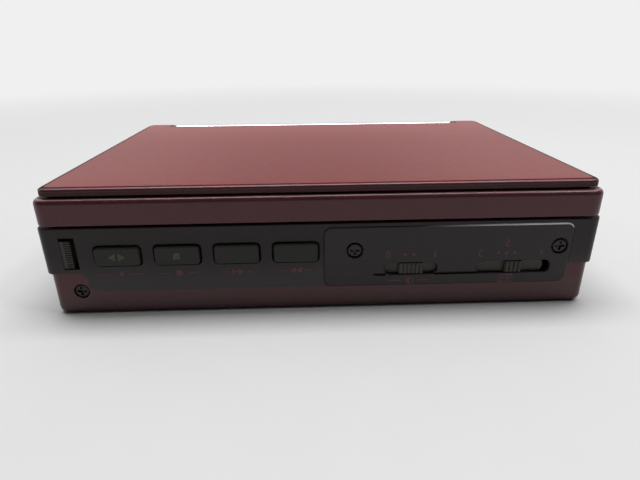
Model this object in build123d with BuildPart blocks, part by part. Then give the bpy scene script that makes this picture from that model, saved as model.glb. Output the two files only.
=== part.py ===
from build123d import *
from math import acos, atan2, cos, degrees, hypot, pi, radians, sin, tan
import os

# A portable cassette player, in millimetres.
# X runs along the front to the right, Y away from the control panel, Z up to the lid.
# The origin is in the middle of the footprint, on the surface that the player lies on.

# Case
case_width = 122.0
case_depth = 84.0
case_height = 29.5
wall = 1.5
floor = 1.3
lid_height = 8.1
parting_gap = 0.5
shell_inset = 0.5
shell_corner_radius = 2.1
shell_edge_radius = 1.6
rim_radius = 0.3
inner_corner_radius = 1.0

left = -case_width / 2
right = case_width / 2
front = -case_depth / 2
back = case_depth / 2
lid_rim = case_height - lid_height
shell_rim = lid_rim - parting_gap
inner_right = right - shell_inset - wall
inner_left = -inner_right
inner_front = front + shell_inset + wall
inner_back = -inner_front

# Lid: a frame, a groove all round, a narrower tier and the plate let into its top
lid_corner_radius = 2.8
lid_edge_radius = 1.2
groove_height = 0.6
groove_depth = 1.6
tier_height = 1.5
tier_side_inset = 1.4
tier_end_inset = 0.8
tier_corner_radius = 2.2
tier_edge_radius = 0.6
plate_proud = 0.15
plate_sheet = 0.6
plate_border = 1.1
plate_gap = 0.1
plate_corner_radius = 1.2
plate_edge_radius = 0.3
lid_roof = 1.2
notch_inset = 11.0
notch_depth = 4.3
notch_corner_radius = 1.2
plate_notch_radius = 0.8
strip_gap = 0.3
strip_back_inset = 0.2
strip_edge_radius = 0.9
tier_top = case_height - plate_proud
tier_bottom = tier_top - tier_height
frame_top = tier_bottom - groove_height
lid_ceiling = frame_top - lid_roof
notch_half_width = right - notch_inset

# Hinge
hinge_wall = 2.6
hinge_radius = 1.9
lug_radius = 1.4
lug_width = 4.0
lug_gap = 0.3
lug_inset = 10.0
pin_radius = 0.8
pin_running_gap = 0.05
boss_width = 3.7
hinge_y = back - hinge_radius
hinge_z = lid_rim + hinge_radius
lug_x = right - lug_inset

# Cassette that the bay takes
cassette_width = 100.4
cassette_depth = 63.8
cassette_thin = 8.7
cassette_thick = 12.0
cassette_thick_depth = 15.0
cassette_gap = 0.25
hub_spacing = 42.5
hub_setback = 34.4
capstan_spacing = 66.0
capstan_setback = 6.5
bay_setback = 13.5
bay_front = front + bay_setback
bay_back = bay_front + cassette_depth
cassette_plane = lid_rim

# Levels, from the cassette downwards
deck_top = cassette_plane - cassette_thin / 2 - cassette_gap
deck_thickness = 0.8
deck_bottom = deck_top - deck_thickness
recess_top = cassette_plane - cassette_thick / 2 - cassette_gap
recess_bottom = recess_top - deck_thickness
gear_top = recess_bottom - 0.45
gear_height = 1.4
gear_bottom = gear_top - gear_height
chassis_top = gear_bottom - 0.4
chassis_thickness = 1.0
chassis_bottom = chassis_top - chassis_thickness
board_bottom = floor + 0.6
board_thickness = 1.0
board_top = board_bottom + board_thickness

# Control panel
panel_inset = 0.2
panel_overhang = 0.2
panel_edge_radius = 2.2
panel_bottom = 5.8
panel_corner_bottom = 10.3
panel_corner_inset = 9.0
panel_step_radius = 2.0
panel_return = 9.0
panel_face = front + panel_inset
panel_ledge_depth = 1.8
ledge_thickness = 0.8
mouth_chamfer = 0.15

# Keys
key_count = 4
key_pitch = 12.85
key_width = 9.6
key_height = 4.2
key_mouth_gap = 0.3
key_corner_radius = 0.7
key_proud = 0.8
key_gap = 0.25
key_lip = 0.5
key_lip_thickness = 0.75
key_row_z = 14.37
first_key_x = left + 16.35
key_travel = 2.5
key_edge_radius = 0.3
stem_half_width = 3.0
stem_length = 0.6
link_depth = 1.2

# Open slider and its catch
slider_slot = (left + 4.3, left + 7.6)
slider_slot_z = (11.35, 18.6)
slider_knob_width = 2.2
slider_plain_width = 0.8
slider_ribs = 12
hook_x = (left + 5.4, left + 6.8)
hook_depth = 1.2
barb_reach = 1.0
barb_height = 1.4
catch_gap = 0.15
hook_foot = lid_rim - 5.6

# Switch plate
plate_x = (right - 61.0, right - 5.8)
plate_z = (5.6, 20.05)
plate_radius = 1.8
plate_thickness = 0.8
plate_rim_radius = 0.45
tone_x = right - 41.5
tone_z = 9.85
tone_slot = (12.0, 2.9)
tone_knob_width = 5.5
tone_travel = 2.3
mode_x = right - 18.3
mode_z = 9.7
mode_slot = (16.8, 3.0)
mode_knob_width = 3.8
mode_travel = 3.0
mode_slide_short = 1.4
slot_gap = 0.2
slide_overlap = 0.7
slide_gap = 0.15
slide_thickness = 0.6
switch_top = 7.5
guide_line_z = 8.52
guide_line_height = 0.7
guide_line_depth = 0.6
guide_line_lead = 2.8

# Screws
screw_head_radius = 1.6
screw_head_height = 0.7
screw_edge_radius = 0.4
screw_cross = (2.1, 0.6, 0.5)
screw_shank_radius = 0.8
screw_hole_radius = 1.85
corner_screw = (left + 6.9, 5.8)
plate_screws = ((right - 54.16, 14.5), (right - 8.5, 14.57))
case_screw_head_radius = 1.8
case_screw_radius = 0.9
column_radius = 2.5
columns = [
    (side * (right - inset), y)
    for side in (-1, 1)
    for inset, y in ((6.0, front + 25.0), (6.5, inner_back - 19.5))
]

# Drive
capstan_radius = 1.0
running_gap = 0.04
flywheel_radius = 14.0
groove_radius = 12.5
belt_size = 1.0
belt_gap = 0.05
belt_z = board_top + 2.0
pulley_radius = 2.0
pulley_flange_radius = 3.1
motor_radius = 10.0
motor_flange_radius = 11.6
gear_module = 0.6
pinion_teeth = 10
idler_teeth = 30
reel_teeth = 32
mesh_gap = 0.06
parked_gap = 1.8
capstan_x = capstan_spacing / 2
capstan_y = bay_front + capstan_setback
spindle_x = hub_spacing / 2
spindle_y = bay_front + hub_setback
motor_place = (capstan_x + 12.5, capstan_y + 30.5)
roller_place = (capstan_x + 18.5, capstan_y + 13.5)

# Tape path
pinch_radius = 4.2
pinch_height = 6.6
pinch_clearance = 0.7
arm_pivot = (capstan_x + 14.0, bay_front - 2.5)
head_width = 12.0
head_depth = 6.6
head_height = 8.2
head_gap = 0.9

# Battery compartment
cell_radius = 7.25
cell_length = 50.5
cell_gap = 0.15
contact_room = 2.7
battery_half = cell_length + contact_room
battery_y = inner_back - 7.0
door_thickness = 1.0
door_gap = 0.15
door_top = 14.0
battery_z = door_thickness + cell_gap + cell_radius
compartment_front = battery_y - cell_radius - cell_gap
rib = 1.0

# Jacks and volume wheel
jack_y = front + 16.0
jack_z = 6.5
jack_bore = 1.8
jack_nose_radius = 2.6
jack_length = 9.5
jack_half_width = 3.0
wheel_radius = 6.5
wheel_height = 2.4
wheel_y = front + 33.0
wheel_x = right - wheel_radius
wheel_bottom = chassis_top + 0.7

pieces = {}


def block(x_range, y_range, z_range, mode=Mode.ADD):
    ranges = (x_range, y_range, z_range)
    middle = Location(tuple((low + high) / 2 for low, high in ranges))
    with Locations(middle):
        Box(*[high - low for low, high in ranges], mode=mode)


def upright(x, y, radius, z_range, mode=Mode.ADD):
    with Locations((x, y, sum(z_range) / 2)):
        Cylinder(radius, z_range[1] - z_range[0], mode=mode)


def along_y(x, z, radius, y_range, mode=Mode.ADD):
    with Locations(Location((x, sum(y_range) / 2, z), (90, 0, 0))):
        Cylinder(radius, y_range[1] - y_range[0], mode=mode)


def along_x(y, z, radius, x_range, mode=Mode.ADD):
    with Locations(Location((sum(x_range) / 2, y, z), (0, 90, 0))):
        Cylinder(radius, x_range[1] - x_range[0], mode=mode)


def facing(y):
    # A plane that looks out of the control panel at this Y, with its own Y pointing up.
    return Plane.XZ.offset(-y)


def around(centre, half):
    return (centre - half, centre + half)


def mirrored(side, x_range):
    return tuple(sorted(side * x for x in x_range))


# Case outline, shared by the back shell and the battery door
with BuildPart() as case_outline:
    block(around(0, right - shell_inset), around(0, back - shell_inset), (0, shell_rim))
    fillet(case_outline.edges().filter_by(Axis.Z), shell_corner_radius)
    fillet(case_outline.faces().sort_by(Axis.Z)[0].edges(), shell_edge_radius)
    fillet(case_outline.faces().sort_by(Axis.Z)[-1].edges(), rim_radius)

# The space that the control panel takes out of the shell
with BuildPart() as panel_space:
    with BuildSketch(facing(front - 1.0)) as panel_outline:
        with BuildLine():
            step = right - panel_corner_inset
            Polyline(
                (-right - 1.0, shell_rim),
                (-right - 1.0, panel_corner_bottom),
                (-step, panel_corner_bottom),
                (-step, panel_bottom),
                (step, panel_bottom),
                (step, panel_corner_bottom),
                (right + 1.0, panel_corner_bottom),
                (right + 1.0, shell_rim),
                close=True,
            )
        make_face()
        steps = [v for v in panel_outline.vertices() if abs(abs(v.X) - step) < 0.1]
        fillet(steps, panel_step_radius)
    extrude(amount=-(panel_return + 1.0))

with BuildPart() as plate_space:
    with BuildSketch(facing(front)):
        with Locations((sum(plate_x) / 2, sum(plate_z) / 2)):
            RectangleRounded(plate_x[1] - plate_x[0], plate_z[1] - plate_z[0], plate_radius)
    extrude(amount=-plate_thickness)

# Room that the keys and the switches take in the panel
key_mouth = (key_width + 2 * key_mouth_gap, key_height + 2 * key_mouth_gap)
key_mouth_radius = key_corner_radius + key_mouth_gap
tone_slide = (tone_x - tone_slot[0] / 2 - tone_travel, tone_x + tone_slot[0] / 2 + slide_gap)
mode_slide = (
    tone_slide[1] + tone_travel + mode_travel + slide_gap,
    mode_x + mode_slot[0] / 2 - mode_slide_short,
)
slide_heights = [
    around(z, slot[1] / 2 + slide_overlap) for z, slot in ((tone_z, tone_slot), (mode_z, mode_slot))
]
window_x = (tone_slide[0] - tone_travel - slide_gap, mode_slide[1] + mode_travel + slide_gap)
window_z = (
    min(low for low, high in slide_heights) - slide_gap,
    max(high for low, high in slide_heights) + slide_gap,
)

# Lower half of the case
door_x = battery_half + 0.7
door_front = compartment_front + 0.3
tab_x = battery_half - 13.0

with BuildPart() as back_shell:
    add(case_outline.part)
    with BuildSketch(Plane.XY.offset(floor)):
        RectangleRounded(inner_right * 2, inner_back * 2, inner_corner_radius)
    extrude(amount=shell_rim - floor, mode=Mode.SUBTRACT)
    # Battery compartment
    roof = deck_bottom - 0.2
    block(around(0, battery_half + rib), (compartment_front - rib, compartment_front), (floor, roof))
    for side in (-1, 1):
        end = mirrored(side, (battery_half, battery_half + rib))
        block(end, (compartment_front, inner_back), (floor, roof))
    block(around(0, door_x), (door_front, back), (-1.0, door_top), mode=Mode.SUBTRACT)
    for side in (-1, 1):
        slot = around(side * tab_x, 3.4)
        block(slot, (compartment_front - rib, compartment_front), (floor, 2.6), mode=Mode.SUBTRACT)
    # Columns for the chassis, with a seat for the board at each foot
    for x, y in columns:
        upright(x, y, column_radius, (floor, chassis_bottom))
        upright(x, y, column_radius + 1.1, (floor, board_bottom))
        upright(x, y, case_screw_head_radius + 0.2, (0, floor - 0.1), mode=Mode.SUBTRACT)
        upright(x, y, case_screw_radius, (0, chassis_bottom), mode=Mode.SUBTRACT)
    # Hinge lugs
    for side in (-1, 1):
        lug = around(side * lug_x, lug_width / 2)
        block(lug, around(hinge_y, lug_radius), (shell_rim - 3.4, hinge_z))
        along_x(hinge_y, hinge_z, lug_radius, lug)
        along_x(hinge_y, hinge_z, pin_radius + pin_running_gap, lug, mode=Mode.SUBTRACT)
    # Front: room for the panel and the switch plate, and the corner screw's boss
    add(panel_space.part, mode=Mode.SUBTRACT)
    add(plate_space.part, mode=Mode.SUBTRACT)
    block(window_x, (front, inner_front + 0.1), window_z, mode=Mode.SUBTRACT)
    boss = (inner_front - 0.5, inner_front + 3.4)
    along_y(*corner_screw, 2.2, boss)
    outside = front + shell_inset
    seat = (outside - 1.0, outside + screw_head_height + 0.1)
    along_y(*corner_screw, screw_hole_radius - 0.1, seat, mode=Mode.SUBTRACT)
    along_y(*corner_screw, screw_shank_radius, (outside, boss[1]), mode=Mode.SUBTRACT)
    # Right end: earphone jack and volume wheel; left end: power jack
    for side in (-1, 1):
        through = mirrored(side, (inner_right, right))
        along_x(jack_y, jack_z, jack_nose_radius, through, mode=Mode.SUBTRACT)
    scoop = (right - shell_inset - 0.8, right)
    scoop_z = (wheel_bottom - 1.1, wheel_bottom + wheel_height + 1.1)
    block(scoop, around(wheel_y, 8.0), scoop_z, mode=Mode.SUBTRACT)
    wheel_z = (wheel_bottom - 0.3, wheel_bottom + wheel_height + 0.3)
    block((inner_right - 0.5, right), around(wheel_y, 6.0), wheel_z, mode=Mode.SUBTRACT)
pieces["back_shell"] = back_shell.part

# Control panel: a black moulding that wraps round both front corners
with BuildPart() as control_panel:
    with BuildSketch(Plane.XY.offset(panel_bottom)):
        width = case_width + 2 * panel_overhang
        depth = case_depth - 2 * panel_inset
        RectangleRounded(width, depth, panel_edge_radius)
    extrude(amount=shell_rim - panel_bottom)
    fillet(control_panel.faces().sort_by(Axis.Z)[-1].edges(), rim_radius)
    with BuildSketch(Plane.XY.offset(panel_bottom)):
        RectangleRounded(inner_right * 2, inner_back * 2, inner_corner_radius)
    extrude(amount=shell_rim - panel_bottom, mode=Mode.SUBTRACT)
    add(panel_space.part, mode=Mode.INTERSECT)
    # Ledge over the keys' stems
    ledge_bottom = key_row_z + key_mouth[1] / 2 + key_lip + 0.2
    ledge_x = (first_key_x - key_mouth[0] / 2 - 1.0, inner_right - 0.5)
    ledge_y = (inner_front - 0.5, inner_front + panel_ledge_depth)
    block(ledge_x, ledge_y, (ledge_bottom, ledge_bottom + ledge_thickness))
    for x, z in plate_screws:
        along_y(x, z, 2.2, (inner_front - 0.5, inner_front + 2.5))
    # Openings
    with BuildSketch(facing(inner_front + 0.1)):
        for index in range(key_count):
            with Locations((first_key_x + index * key_pitch, key_row_z)):
                RectangleRounded(*key_mouth, key_mouth_radius)
        with Locations((sum(slider_slot) / 2, sum(slider_slot_z) / 2)):
            Rectangle(slider_slot[1] - slider_slot[0], slider_slot_z[1] - slider_slot_z[0])
    extrude(amount=5.0, mode=Mode.SUBTRACT)
    mouths = control_panel.faces().sort_by(Axis.Y)[0].inner_wires()
    chamfer([edge for mouth in mouths for edge in mouth.edges()], mouth_chamfer)
    add(plate_space.part, mode=Mode.SUBTRACT)
    # One window behind the switch plate, in which both switches slide
    block(window_x, (front, inner_front + 0.1), window_z, mode=Mode.SUBTRACT)
    for x, z in plate_screws:
        along_y(x, z, screw_shank_radius, (front, inner_front + 2.5), mode=Mode.SUBTRACT)
pieces["control_panel"] = control_panel.part

# Switch plate with its two slots and the fine line between them
with BuildPart() as switch_plate:
    add(plate_space.part)
    with BuildSketch(facing(front)):
        for x, z, (length, height) in ((tone_x, tone_z, tone_slot), (mode_x, mode_z, mode_slot)):
            with Locations((x, z)):
                SlotOverall(length, height)
        with Locations(*plate_screws):
            Circle(screw_hole_radius)
    extrude(amount=-plate_thickness, mode=Mode.SUBTRACT)
    plate_face = switch_plate.faces().sort_by(Axis.Y)[0]
    fillet(plate_face.outer_wire().edges(), plate_rim_radius)
    mouths = switch_plate.faces().sort_by(Axis.Y)[0].inner_wires()
    chamfer([edge for mouth in mouths for edge in mouth.edges()], mouth_chamfer)
    tone_start = tone_x - tone_slot[0] / 2
    tone_end = tone_x + tone_slot[0] / 2
    mode_start = mode_x - mode_slot[0] / 2
    with BuildSketch(facing(front)):
        line_half = guide_line_height / 2
        Polygon(
            (tone_start - guide_line_lead, guide_line_z),
            (tone_start - guide_line_lead / 2, guide_line_z - line_half),
            (tone_start + line_half, guide_line_z - line_half),
            (tone_start + line_half, guide_line_z + line_half),
            (tone_start - guide_line_lead / 2, guide_line_z + line_half),
            align=None,
        )
        with Locations(((tone_end + mode_start) / 2, guide_line_z)):
            Rectangle(mode_start - tone_end + 4 * line_half, guide_line_height)
    extrude(amount=-guide_line_depth, mode=Mode.SUBTRACT)
pieces["switch_plate"] = switch_plate.part


def cross_recess(x, z, face_y):
    length, width, depth = screw_cross
    for across, up in ((length, width), (width, length)):
        cross = (around(x, across / 2), (face_y, face_y + depth), around(z, up / 2))
        block(*cross, mode=Mode.SUBTRACT)


# Three front screws, all alike
with BuildPart() as panel_screws:
    heads = [(x, z, front + plate_thickness) for x, z in plate_screws]
    heads.append((*corner_screw, front + shell_inset + screw_head_height + 0.1))
    for x, z, seat_y in heads:
        along_y(x, z, screw_head_radius, (seat_y - screw_head_height, seat_y))
        along_y(x, z, screw_shank_radius, (seat_y, seat_y + 3.4))
    rings = panel_screws.edges().filter_by(GeomType.CIRCLE)
    faces_y = [seat_y - screw_head_height for x, z, seat_y in heads]
    rims = [ring for ring in rings if min(abs(ring.center().Y - y) for y in faces_y) < 0.01]
    fillet(rims, screw_edge_radius)
    for x, z, seat_y in heads:
        cross_recess(x, z, seat_y - screw_head_height)
pieces["panel_screws"] = panel_screws.part

# Four case screws, driven from below through the columns into the chassis
with BuildPart() as case_screws:
    for x, y in columns:
        upright(x, y, case_screw_head_radius, (0.3, floor - 0.1))
        upright(x, y, case_screw_radius, (floor - 0.1, chassis_top))
        for size in ((2.2, 0.5), (0.5, 2.2)):
            cross = (around(x, size[0] / 2), around(y, size[1] / 2))
            block(*cross, (0.3, 0.8), mode=Mode.SUBTRACT)
pieces["case_screws"] = case_screws.part

# Battery door: the bottom's back edge and part of the back wall in one L
with BuildPart() as battery_door:
    add(case_outline.part)
    zone = (around(0, door_x - door_gap), (door_front + door_gap, back), (0, door_top - door_gap))
    block(*zone, mode=Mode.INTERSECT)
    hollow = ((left, right), (0, inner_back + door_gap), (door_thickness, case_height))
    block(*hollow, mode=Mode.SUBTRACT)
    for side in (-1, 1):
        tab = around(side * tab_x, 3.0)
        block(tab, (door_front + door_gap, door_front + 1.2), (0.5, 2.3))
        block(tab, (compartment_front - 3.3, door_front + 1.2), (floor + door_gap, 2.3))
pieces["battery_door"] = battery_door.part

# Battery contacts and the spring at the left end
with BuildPart() as battery_contacts:
    for side in (-1, 1):
        plate = mirrored(side, (battery_half - 0.4, battery_half))
        block(plate, around(battery_y, 5.0), around(battery_z, 5.0))
pieces["battery_contacts"] = battery_contacts.part

with BuildPart() as battery_spring:
    with Locations(Location((-battery_half + 0.4, battery_y, battery_z), (0, 90, 0))):
        standing = (Align.CENTER, Align.CENTER, Align.MIN)
        Cone(4.6, 3.0, contact_room - 0.6, align=standing)
        Cone(3.8, 2.2, contact_room - 0.6, align=standing, mode=Mode.SUBTRACT)
pieces["battery_spring"] = battery_spring.part

# Circuit board with its components
board_back = compartment_front - rib - 3.1
with BuildPart() as main_board:
    block(around(0, inner_right - 0.6), (inner_front + 0.6, board_back), (board_bottom, board_top))
    for x, y in columns:
        upright(x, y, column_radius + 0.3, (board_bottom, board_top), mode=Mode.SUBTRACT)
pieces["main_board"] = main_board.part

with BuildPart() as board_parts:
    capacitor_y = board_back - 4.0
    for x in (-30.0, -23.5, -17.0, 2.0):
        upright(x, capacitor_y, 2.5, (board_top, board_top + 6.0))
    for x, y in ((-8.0, 3.0), (14.0, -1.0), (-24.0, 2.0)):
        block(around(x, 4.5), around(y, 2.8), (board_top, board_top + 1.3))
    for index in range(7):
        x = -45.0 + index * 4.0
        block(around(x, 1.0), around(capacitor_y - 6.5, 0.6), (board_top, board_top + 0.6))
    block(around(-9.0, 2.2), around(capacitor_y, 2.2), (board_top, board_top + 4.0))
pieces["board_parts"] = board_parts.part

# Jacks, one at each end, no longer than the flywheels beside them leave room for
jack_reach = min(jack_length, inner_right - capstan_x - flywheel_radius - 0.4)
for name, side in (("earphone_jack", 1), ("power_jack", -1)):
    with BuildPart() as jack:
        body = mirrored(side, (inner_right - jack_reach, inner_right))
        body_z = (board_top, jack_z + jack_half_width)
        block(body, around(jack_y, jack_half_width), body_z)
        nose = mirrored(side, (inner_right - 0.5, right - shell_inset))
        along_x(jack_y, jack_z, jack_nose_radius, nose)
        bore = mirrored(side, (inner_right - jack_reach + 1.0, right))
        along_x(jack_y, jack_z, jack_bore, bore, mode=Mode.SUBTRACT)
    pieces[name] = jack.part

# Keys, each with a cap, a lip behind the panel and a stem
key_names = ("play_key", "stop_key", "rewind_key", "forward_key")
lip_y = (inner_front + key_gap, inner_front + key_gap + key_lip_thickness)
stem_end = lip_y[1] + stem_length
link_front = lip_y[1] + key_travel + 0.3

for index, name in enumerate(key_names):
    x = first_key_x + index * key_pitch
    cap_face = panel_face - key_proud
    with BuildPart() as key:
        with BuildSketch(facing(cap_face)):
            with Locations((x, key_row_z)):
                RectangleRounded(key_width, key_height, key_corner_radius)
        extrude(amount=-(lip_y[0] - cap_face + 0.1))
        fillet(key.faces().sort_by(Axis.Y)[0].edges(), key_edge_radius)
        lip_z = around(key_row_z, key_mouth[1] / 2 + key_lip)
        block(around(x, key_mouth[0] / 2 + key_lip), lip_y, lip_z)
        stem_z = (key_row_z - 0.6, key_row_z + 1.5)
        block(around(x, stem_half_width), (lip_y[1], stem_end), stem_z)
        if name == "play_key":
            tongue_z = (gear_bottom, gear_bottom + 0.9)
            block(around(x, stem_half_width), (lip_y[1], link_front - 0.2), tongue_z)
    pieces[name] = key.part

# One comb of leaf springs behind the keys' lips
with BuildPart() as key_springs:
    comb_x = (first_key_x - 4.0, first_key_x + (key_count - 1) * key_pitch + 5.0)
    block(comb_x, (lip_y[1] + 0.1, inner_front + panel_ledge_depth), (ledge_bottom - 0.2, ledge_bottom))
    for index in range(key_count):
        x = first_key_x + index * key_pitch + 4.1
        leaf_y = (lip_y[1] + 0.05, lip_y[1] + 0.3)
        block(around(x, 0.8), leaf_y, (key_row_z - 1.4, ledge_bottom))
pieces["key_springs"] = key_springs.part

# Open slider: ribbed knob, plate behind the panel and the catch for the lid's hook
with BuildPart() as open_slider:
    knob = (slider_slot[0] + 0.1, slider_slot[0] + slider_knob_width)
    knob_z = (slider_slot_z[0] + 0.2, slider_slot_z[1] - 0.75)
    plate_y = (inner_front + 0.15, inner_front + 0.9)
    block(knob, (front + 0.55, plate_y[0]), knob_z)
    ribbed_from = knob[0] + slider_plain_width
    block((knob[0], ribbed_from), (front + 0.35, front + 0.6), knob_z)
    rib_pitch = (knob_z[1] - knob_z[0]) / slider_ribs
    for index in range(slider_ribs):
        rib_z = knob_z[0] + (index + 0.25) * rib_pitch
        block((ribbed_from, knob[1]), (front + 0.35, front + 0.6), (rib_z, rib_z + rib_pitch / 2))
    plate_ends = (inner_left + 0.8, hook_x[1] + barb_reach + catch_gap + 0.9)
    block(plate_ends, plate_y, (slider_slot_z[0] - 0.9, slider_slot_z[1] + 0.9))
    hook_y = (plate_y[1] + 0.5, plate_y[1] + 0.5 + hook_depth)
    barb_top = hook_foot + barb_height
    catch = (hook_x[1] + barb_reach + catch_gap, plate_ends[1])
    block(catch, (plate_y[0], hook_y[1]), (barb_top + 0.2, barb_top + 1.4))
pieces["open_slider"] = open_slider.part


def switch_knob(x, z, slot, knob_width, slide_x, slide_z):
    # A ribbed knob on a slide that lies close behind the switch plate; the finger works the switch.
    knob_half = slot[1] / 2 - slot_gap
    slide_front = front + plate_thickness + slide_gap
    slide_y = (slide_front, slide_front + slide_thickness)
    block(around(x, knob_width / 2), (front + 0.25, slide_y[0]), around(z, knob_half))
    ribs = round(knob_width / 0.9)
    pitch = knob_width / ribs
    for index in range(ribs):
        rib_x = x - knob_width / 2 + (index + 0.25) * pitch
        block((rib_x, rib_x + pitch / 2), (front, front + 0.3), around(z, knob_half))
    end_radius = (slide_z[1] - slide_z[0]) / 2
    block((slide_x[0], slide_x[1] - end_radius), slide_y, slide_z)
    along_y(slide_x[1] - end_radius, z, end_radius, slide_y)
    block(around(x, 1.2), (slide_y[1], inner_front + 2.0), (switch_top + 0.3, switch_top + 1.5))


with BuildPart() as tone_knob:
    switch_knob(tone_x, tone_z, tone_slot, tone_knob_width, tone_slide, slide_heights[0])
pieces["tone_knob"] = tone_knob.part

with BuildPart() as mode_knob:
    switch_knob(mode_x, mode_z, mode_slot, mode_knob_width, mode_slide, slide_heights[1])
pieces["mode_knob"] = mode_knob.part

for name, x in (("tone_switch", tone_x), ("mode_switch", mode_x)):
    # The body's back stays clear of the flywheel's rim beside it
    across = max(abs(x - capstan_x) - 4.5, 0.0)
    rim = max(flywheel_radius**2 - across**2, 0.0) ** 0.5
    switch_back = min(inner_front + 3.5, capstan_y - rim - 0.4)
    with BuildPart() as switch:
        block(around(x, 4.5), (inner_front + 0.9, switch_back), (board_top, switch_top))
    pieces[name] = switch.part

# Chassis plate, with the posts that carry the moving pieces
chassis_front = front + 6.5
head_guides = [(side * 10.0, chassis_front + 7.5) for side in (-1, 1)]
deck_posts = [
    (side * (right - 5.5), y) for side in (-1, 1) for y in (front + 22.0, compartment_front - 3.6)
]


def gear_places(side, extra_gap):
    # The idler meshes with the pinion, and stands off the reel gear by the extra gap.
    first = gear_module * (pinion_teeth + idler_teeth) / 2 + mesh_gap
    second = gear_module * (idler_teeth + reel_teeth) / 2 + mesh_gap + extra_gap
    across = spindle_x - capstan_x
    along = spindle_y - capstan_y
    span = hypot(across, along)
    turn = acos((first**2 + span**2 - second**2) / (2 * first * span))
    heading = atan2(along, across) - turn
    return (side * (capstan_x + first * cos(heading)), capstan_y + first * sin(heading))


idlers = {"right": gear_places(1, 0), "left": gear_places(-1, parked_gap)}
idler_pin_radius = 1.2
arm_post_radius = 1.2
roller_pin_radius = 0.8

with BuildPart() as chassis_plate:
    chassis_y = (chassis_front, compartment_front - rib - 0.4)
    block(around(0, inner_right - 1.2), chassis_y, (chassis_bottom, chassis_top))
    for side in (-1, 1):
        upright(side * capstan_x, capstan_y, 2.6, (chassis_bottom, chassis_top), mode=Mode.SUBTRACT)
        upright(side * spindle_x, spindle_y, 1.4, (chassis_top, cassette_plane))
        upright(side * arm_pivot[0], arm_pivot[1], arm_post_radius, (chassis_top, gear_top + 1.6))
    upright(*motor_place, motor_radius, (chassis_bottom, chassis_top), mode=Mode.SUBTRACT)
    for x, y in idlers.values():
        upright(x, y, idler_pin_radius, (chassis_top, gear_top + 0.2))
    for x, y in head_guides:
        upright(x, y, 0.9, (chassis_top, gear_top + 0.2))
    upright(*roller_place, roller_pin_radius, (belt_z - 1.2, chassis_bottom))
    for x, y in columns:
        upright(x, y, case_screw_radius, (chassis_bottom, chassis_top), mode=Mode.SUBTRACT)
pieces["chassis_plate"] = chassis_plate.part

# Deck cover: the floor of the cassette bay
with BuildPart() as deck_cover:
    deck_back = hinge_y - lug_radius - 0.5
    block(around(0, inner_right - 0.3), (bay_front - 0.4, deck_back), (deck_bottom, deck_top))
    thick_half = cassette_width / 2 - 4.2
    recess_front = bay_front + 4.5
    recess_back = bay_front + cassette_thick_depth
    open_edge = (bay_front - 1.0, recess_back)
    block(around(0, thick_half), open_edge, (deck_bottom, deck_top), mode=Mode.SUBTRACT)
    tray_y = (recess_front, recess_back + rib)
    block(around(0, thick_half + rib), tray_y, (recess_bottom, deck_bottom))
    block(around(0, thick_half), (recess_front, recess_back), (recess_top, deck_top), mode=Mode.SUBTRACT)
    for side in (-1, 1):
        x = side * capstan_x
        upright(x, capstan_y, capstan_radius + 1.2, (recess_bottom, recess_top), mode=Mode.SUBTRACT)
        notch_y = (recess_front, capstan_y)
        block(around(x, capstan_radius + 1.2), notch_y, (recess_bottom, recess_top), mode=Mode.SUBTRACT)
        upright(side * spindle_x, spindle_y, 5.3, (deck_bottom, deck_top), mode=Mode.SUBTRACT)
        # Ribs that guide the cassette in
        guide = mirrored(side, (cassette_width / 2 + 0.6, cassette_width / 2 + 1.8))
        block(guide, (recess_back + 3.0, bay_back - 2.0), (deck_top, shell_rim - 0.4))
        stop = mirrored(side, (cassette_width / 2 - 22.0, cassette_width / 2 - 4.0))
        block(stop, (bay_back + 0.6, bay_back + 1.8), (deck_top, shell_rim - 0.4))
    for x, y in deck_posts:
        upright(x, y, 1.8, (chassis_top, deck_bottom))
        upright(x, y, screw_shank_radius, (chassis_top, deck_top), mode=Mode.SUBTRACT)
    # Room for the cells under the deck
    trough = around(0, battery_half)
    along_x(battery_y, battery_z, cell_radius + cell_gap, trough, mode=Mode.SUBTRACT)
pieces["deck_cover"] = deck_cover.part

with BuildPart() as deck_screws:
    for x, y in deck_posts:
        upright(x, y, screw_head_radius, (deck_top, deck_top + screw_head_height))
        upright(x, y, screw_shank_radius, (chassis_top, deck_top))
        for size in ((2.0, 0.45), (0.45, 2.0)):
            cross = (around(x, size[0] / 2), around(y, size[1] / 2))
            top = deck_top + screw_head_height
            block(*cross, (top - 0.4, top), mode=Mode.SUBTRACT)
pieces["deck_screws"] = deck_screws.part

with BuildPart() as locating_pins:
    for side in (-1, 1):
        upright(side * (capstan_x - 7.0), capstan_y + 2.3, 1.5, (recess_top, cassette_plane + 1.0))
    fillet(locating_pins.faces().group_by(Axis.Z)[-1].edges(), 1.0)
pieces["locating_pins"] = locating_pins.part

# Bracket under the flywheels
bracket_top = belt_z - 1.3
bracket_posts = [(-9.0, capstan_y + 8.0), (9.0, capstan_y - 8.0)]
with BuildPart() as flywheel_bracket:
    bracket_z = (bracket_top - 0.4, bracket_top)
    block(around(0, capstan_x + 4.0), around(capstan_y, 4.0), bracket_z)
    for x, y in bracket_posts:
        ear_y = tuple(sorted((capstan_y, y + (2.0 if y > capstan_y else -2.0))))
        block(around(x, 2.0), ear_y, bracket_z)
        upright(x, y, 1.6, (bracket_top, chassis_bottom))
pieces["flywheel_bracket"] = flywheel_bracket.part


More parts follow.
